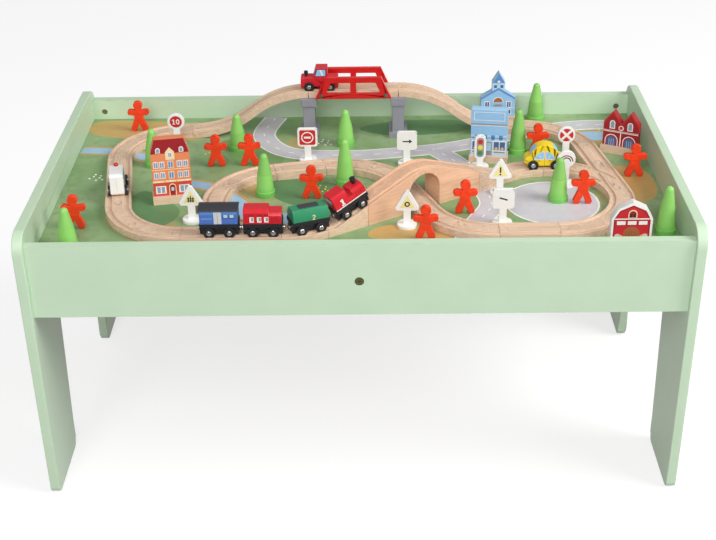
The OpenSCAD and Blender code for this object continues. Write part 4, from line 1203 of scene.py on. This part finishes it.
class TRAINTABLE_OT_cars(Operator):
    """Paints the ambulance, the taxi and the truck and adds their windows, lamps and hubs"""

    bl_idname = "train_table.cars"
    bl_label = "Cars"

    half_w = 10.8
    half_len = 32

    def execute(self, context):
        edge = 1.2
        for name, colour in (
            ("ambulance", linear("#f1f1ee")), ("taxi", colours().taxi_yellow),
            ("truck", colours().train_red),
        ):
            lacquer = sprayed_lacquer("gloss_lacquer_" + name, tuple(colour), 0.32, 15)
            dress(name + "_body", lacquer, edge, 3)
        dress("truck_stack", sprayed_lacquer("satin_lacquer_stack", linear("#242428"), 0.4, 12), 0.3)
        dress("ambulance_light", moulded_abs("moulded_lamp_red", linear("#c4171e"), 0.25), 0.2)
        wheel = moulded_abs("moulded_abs_tyre", linear("#1d1d20"), 0.45)
        hub = plated_metal("bright_car_hub", linear("#cbccd0"), 0.28, 0.8)
        for name in ("ambulance", "taxi", "truck"):
            for end in ("front", "rear"):
                dress(f"{name}_{end}_wheels", wheel, 0.3)
            add_hubs(Vehicle(name), hub)
        self.trim_ambulance(Vehicle("ambulance"))
        self.trim_taxi(Vehicle("taxi"))
        self.trim_truck(Vehicle("truck"))
        return {"FINISHED"}

    def lamps(self, prints, car, height, apart, ink, out):
        """A pair of round lamps on a front or rear face."""
        face = car.end(prints, self.half_len * out, out)
        for side in (-1, 1):
            face.lay("silver", disc(side * apart, height, 2.4))
            face.lay(ink, disc(side * apart, height, 1.8), 1)

    def trim_ambulance(self, car):
        """A red stripe, windows and lamps; the rear is plain but for its door line."""
        screen_x = 10
        prints = car.prints("white_vehicle_paint")
        for face in car.sides(prints, self.half_w):
            face.lay("red", rect(-11, 19.4, 40, 2))
            face.lay("deep_blue", rounded(3.6, 28.4, 8, 9, 1.5))
            face.lay("pane", rounded(-14, 28.4, 20, 8, 1.5))
            face.stroke("pale_grey", [(-2, 16), (-2, 35)], 0.5)
        car.end(prints, screen_x).lay("deep_blue", rounded(0, 27.8, 17, 9, 2))
        car.end(prints, -self.half_len, -1).stroke("pale_grey", [(0, 9), (0, 31)], 0.5)
        self.lamps(prints, car, 12, 7, "cream", 1)
        car.end(prints, self.half_len).lay("grey", rect(0, 12, 7, 3))
        prints.finish()

    def trim_taxi(self, car):
        """Two windows on each side, screens over the dome, door lines and lamps."""
        dome_z, dome_r, pane_z, pane_r = 16, 24, 12, 17
        prints = car.prints("yellow_vehicle_paint")
        pane = [(1.8, 16)] + arc(0, pane_z, pane_r, 14, 84, 10)
        # a pale sky stripe on each window is a painted highlight
        painted_glint = [(4, 17.6), (7, 17.6), (10, 22.6), (7, 22.6)]
        for face in car.sides(prints, self.half_w):
            for way in (-1, 1):
                face.lay("white", flip(grown(pane, 1.12), way))
                face.lay("pale_blue", flip(pane, way), 1)
                face.lay("sky", flip(painted_glint, way), 2)
                face.lay("brown", rect(8.6 * way, 12.6, 4, 1.3))
            face.stroke("brown", [(0, 5), (0, 30)], 0.5)
        for start, end in ((20, 54), (126, 160)):
            band = arc(0, dome_z, dome_r + 0.2, start, end) + arc(0, dome_z, dome_r - 0.4, end, start)
            plate(prints.mesh("pale_blue"), car.side_place(0), band, -8.4, 8.4)
        self.lamps(prints, car, 11.6, 7, "cream", 1)
        self.lamps(prints, car, 11.6, 7, "red", -1)
        prints.finish()

    def trim_truck(self, car):
        """Cab windows, screen, grille and lamps."""
        cab_back, cab_front, hood_z, screen_rise = -14, 11, 22, Vector((-5, 17))
        prints = car.prints("red_vehicle_paint")
        for face in car.sides(prints, self.half_w):
            face.lay("black", [(-11.6, 23.6), (8.2, 23.6), (4.2, 36.8), (-11.6, 36.8)])
            face.lay("pale_blue", [(-10.4, 24.6), (6.8, 24.6), (3.4, 35.8), (-10.4, 35.8)], 1)
            # a white slanting stripe on each side window is a painted highlight
            face.lay("white", [(-7, 25.6), (-4, 25.6), (-0.4, 35), (-3.4, 35)], 2)
            face.stroke("dark_red", [(11.6, 15), (11.6, 20)], 0.6)
        lean = screen_rise.normalized()
        screen = place_of(car.origin + car.forward * cab_front + car.up * hood_z, car.left,
                          car.up * lean.y + car.forward * lean.x)
        Face(prints, screen).lay("pale_blue", rounded(0, 9, 17, 11, 2))
        car.end(prints, cab_back, -1).lay("pane", rounded(0, 30.6, 16, 9, 2))
        for z in (8, 11, 14, 17):
            car.end(prints, self.half_len).lay("silver", rect(0, z, 8, 1.3))
        self.lamps(prints, car, 13, 7.4, "cream", 1)
        self.lamps(prints, car, 12, 7.4, "yellow", -1)
        prints.finish()


class TRAINTABLE_OT_stage(Operator):
    """Sets up the floor, the light and the camera"""

    bl_idname = "train_table.stage"
    bl_label = "Stage"

    floor_half = 6.0
    floor_glow = 0.7
    key_place, key_size = Vector((-0.5, -3.8, 3.0)), 3.0
    side_place, side_size = Vector((3.0, -1.0, 2.8)), 2.5
    aim = Vector((0, 0, 0.35))

    def execute(self, context):
        self.make_floor()
        self.make_light()
        self.make_camera(context)
        return {"FINISHED"}

    def make_floor(self):
        """A pale floor that shows white where it is lit and keeps the shadow of the table."""
        made, tree, shader, place = new_material("studio_floor")
        cloud = noise(tree, place, 600, 1.0)
        path = add(tree, "ShaderNodeLightPath").outputs
        seen = reckon(tree, "MAXIMUM", path["Is Camera Ray"], path["Is Glossy Ray"])
        glow = reckon(tree, "MAXIMUM", seen, path["Is Transmission Ray"])
        fill(tree, shader, {
            "Base Color": blend(tree, cloud, linear("#9e9e9e"), linear("#a2a2a2")), "Roughness": 0.9,
            "Emission Color": (1.0, 1.0, 1.0, 1.0),
            "Emission Strength": reckon(tree, "MULTIPLY", glow, self.floor_glow),
        })
        mesh = bmesh.new()
        width = 2 * self.floor_half / MM
        plate(mesh, level_place(0), rect(0, 0, width, width), -20, -0.5)
        new_object("floor", made, mesh)

    def add_lamp(self, name, place, size, power):
        """A round soft lamp that points at the table."""
        lamp = bpy.data.lights.new(name, "AREA")
        lamp.shape = "DISK"
        lamp.size = size
        lamp.energy = power
        made = bpy.data.objects.new(name, lamp)
        made.location = place
        made.rotation_euler = (self.aim - place).to_track_quat("-Z", "Y").to_euler()
        bpy.context.scene.collection.objects.link(made)

    def make_light(self):
        """Two wide soft lamps, in front and from the right, under an even sky that looks white."""
        self.add_lamp("key_lamp", self.key_place, self.key_size, sizes().key_power)
        self.add_lamp("side_lamp", self.side_place, self.side_size, sizes().side_power)
        world = bpy.data.worlds.new("studio_sky")
        world.use_nodes = True
        tree = world.node_tree
        sky = tree.nodes["Background"]
        path = add(tree, "ShaderNodeLightPath").outputs
        seen = reckon(tree, "MAXIMUM", path["Is Camera Ray"], path["Is Transmission Ray"])
        fill(tree, sky, {
            "Color": (1.0, 1.0, 1.0, 1.0), "Strength": spread(tree, seen, low=sizes().sky_strength),
        })
        bpy.context.scene.world = world

    def make_camera(self, context):
        """A camera where the photo was taken from."""
        yaw, pitch, roll = (math.radians(a) for a in (CAMERA_YAW, CAMERA_PITCH, CAMERA_ROLL))
        ahead = Vector((math.sin(yaw) * math.cos(pitch), math.cos(yaw) * math.cos(pitch), -math.sin(pitch)))
        right = Vector((math.cos(yaw), -math.sin(yaw), 0))
        up = right.cross(ahead)
        rolled_right = right * math.cos(roll) + up * math.sin(roll)
        rolled_up = up * math.cos(roll) - right * math.sin(roll)
        lens = bpy.data.cameras.new("camera")
        lens.sensor_width = 36
        lens.lens = FOCAL_PIXELS * lens.sensor_width / IMAGE_WIDTH
        camera = bpy.data.objects.new("camera", lens)
        columns = [rolled_right, rolled_up, -ahead, CAMERA_PLACE * MM]
        camera.matrix_world = Matrix([[c[i] for c in columns] for i in range(3)] + [[0, 0, 0, 1]])
        context.scene.collection.objects.link(camera)
        context.scene.camera = camera
        context.scene.view_settings.view_transform = "Standard"


STEPS = (
    TRAINTABLE_OT_frame, TRAINTABLE_OT_board, TRAINTABLE_OT_railway, TRAINTABLE_OT_bridges,
    TRAINTABLE_OT_scenery, TRAINTABLE_OT_signs, TRAINTABLE_OT_buildings, TRAINTABLE_OT_wagons,
    TRAINTABLE_OT_engine, TRAINTABLE_OT_cars, TRAINTABLE_OT_stage,
)


class TRAINTABLE_PT_panel(Panel):
    """Lists the steps that dress the train table"""

    bl_idname = "TRAINTABLE_PT_panel"
    bl_label = "Train table"
    bl_space_type = "VIEW_3D"
    bl_region_type = "UI"
    bl_category = "Train table"

    def draw(self, context):
        for step in STEPS:
            self.layout.operator(step.bl_idname)
        for group in (context.scene.train_table_sizes, context.scene.train_table_colours):
            for name in group.bl_rna.properties.keys():
                if name not in ("rna_type", "name"):
                    self.layout.prop(group, name)


CLASSES = (TrainTableColours, TrainTableSizes) + STEPS + (TRAINTABLE_PT_panel,)


def register():
    """Adds the classes and the settings."""
    for cls in CLASSES:
        bpy.utils.register_class(cls)
    bpy.types.Scene.train_table_colours = PointerProperty(type=TrainTableColours)
    bpy.types.Scene.train_table_sizes = PointerProperty(type=TrainTableSizes)


def unregister():
    """Takes them out again."""
    del bpy.types.Scene.train_table_sizes
    del bpy.types.Scene.train_table_colours
    for cls in reversed(CLASSES):
        bpy.utils.unregister_class(cls)


def main():
    """Dresses the table step by step."""
    register()
    for step in STEPS:
        group, action = step.bl_idname.split(".")
        getattr(getattr(bpy.ops, group), action)()


if __name__ == "__main__":
    main()
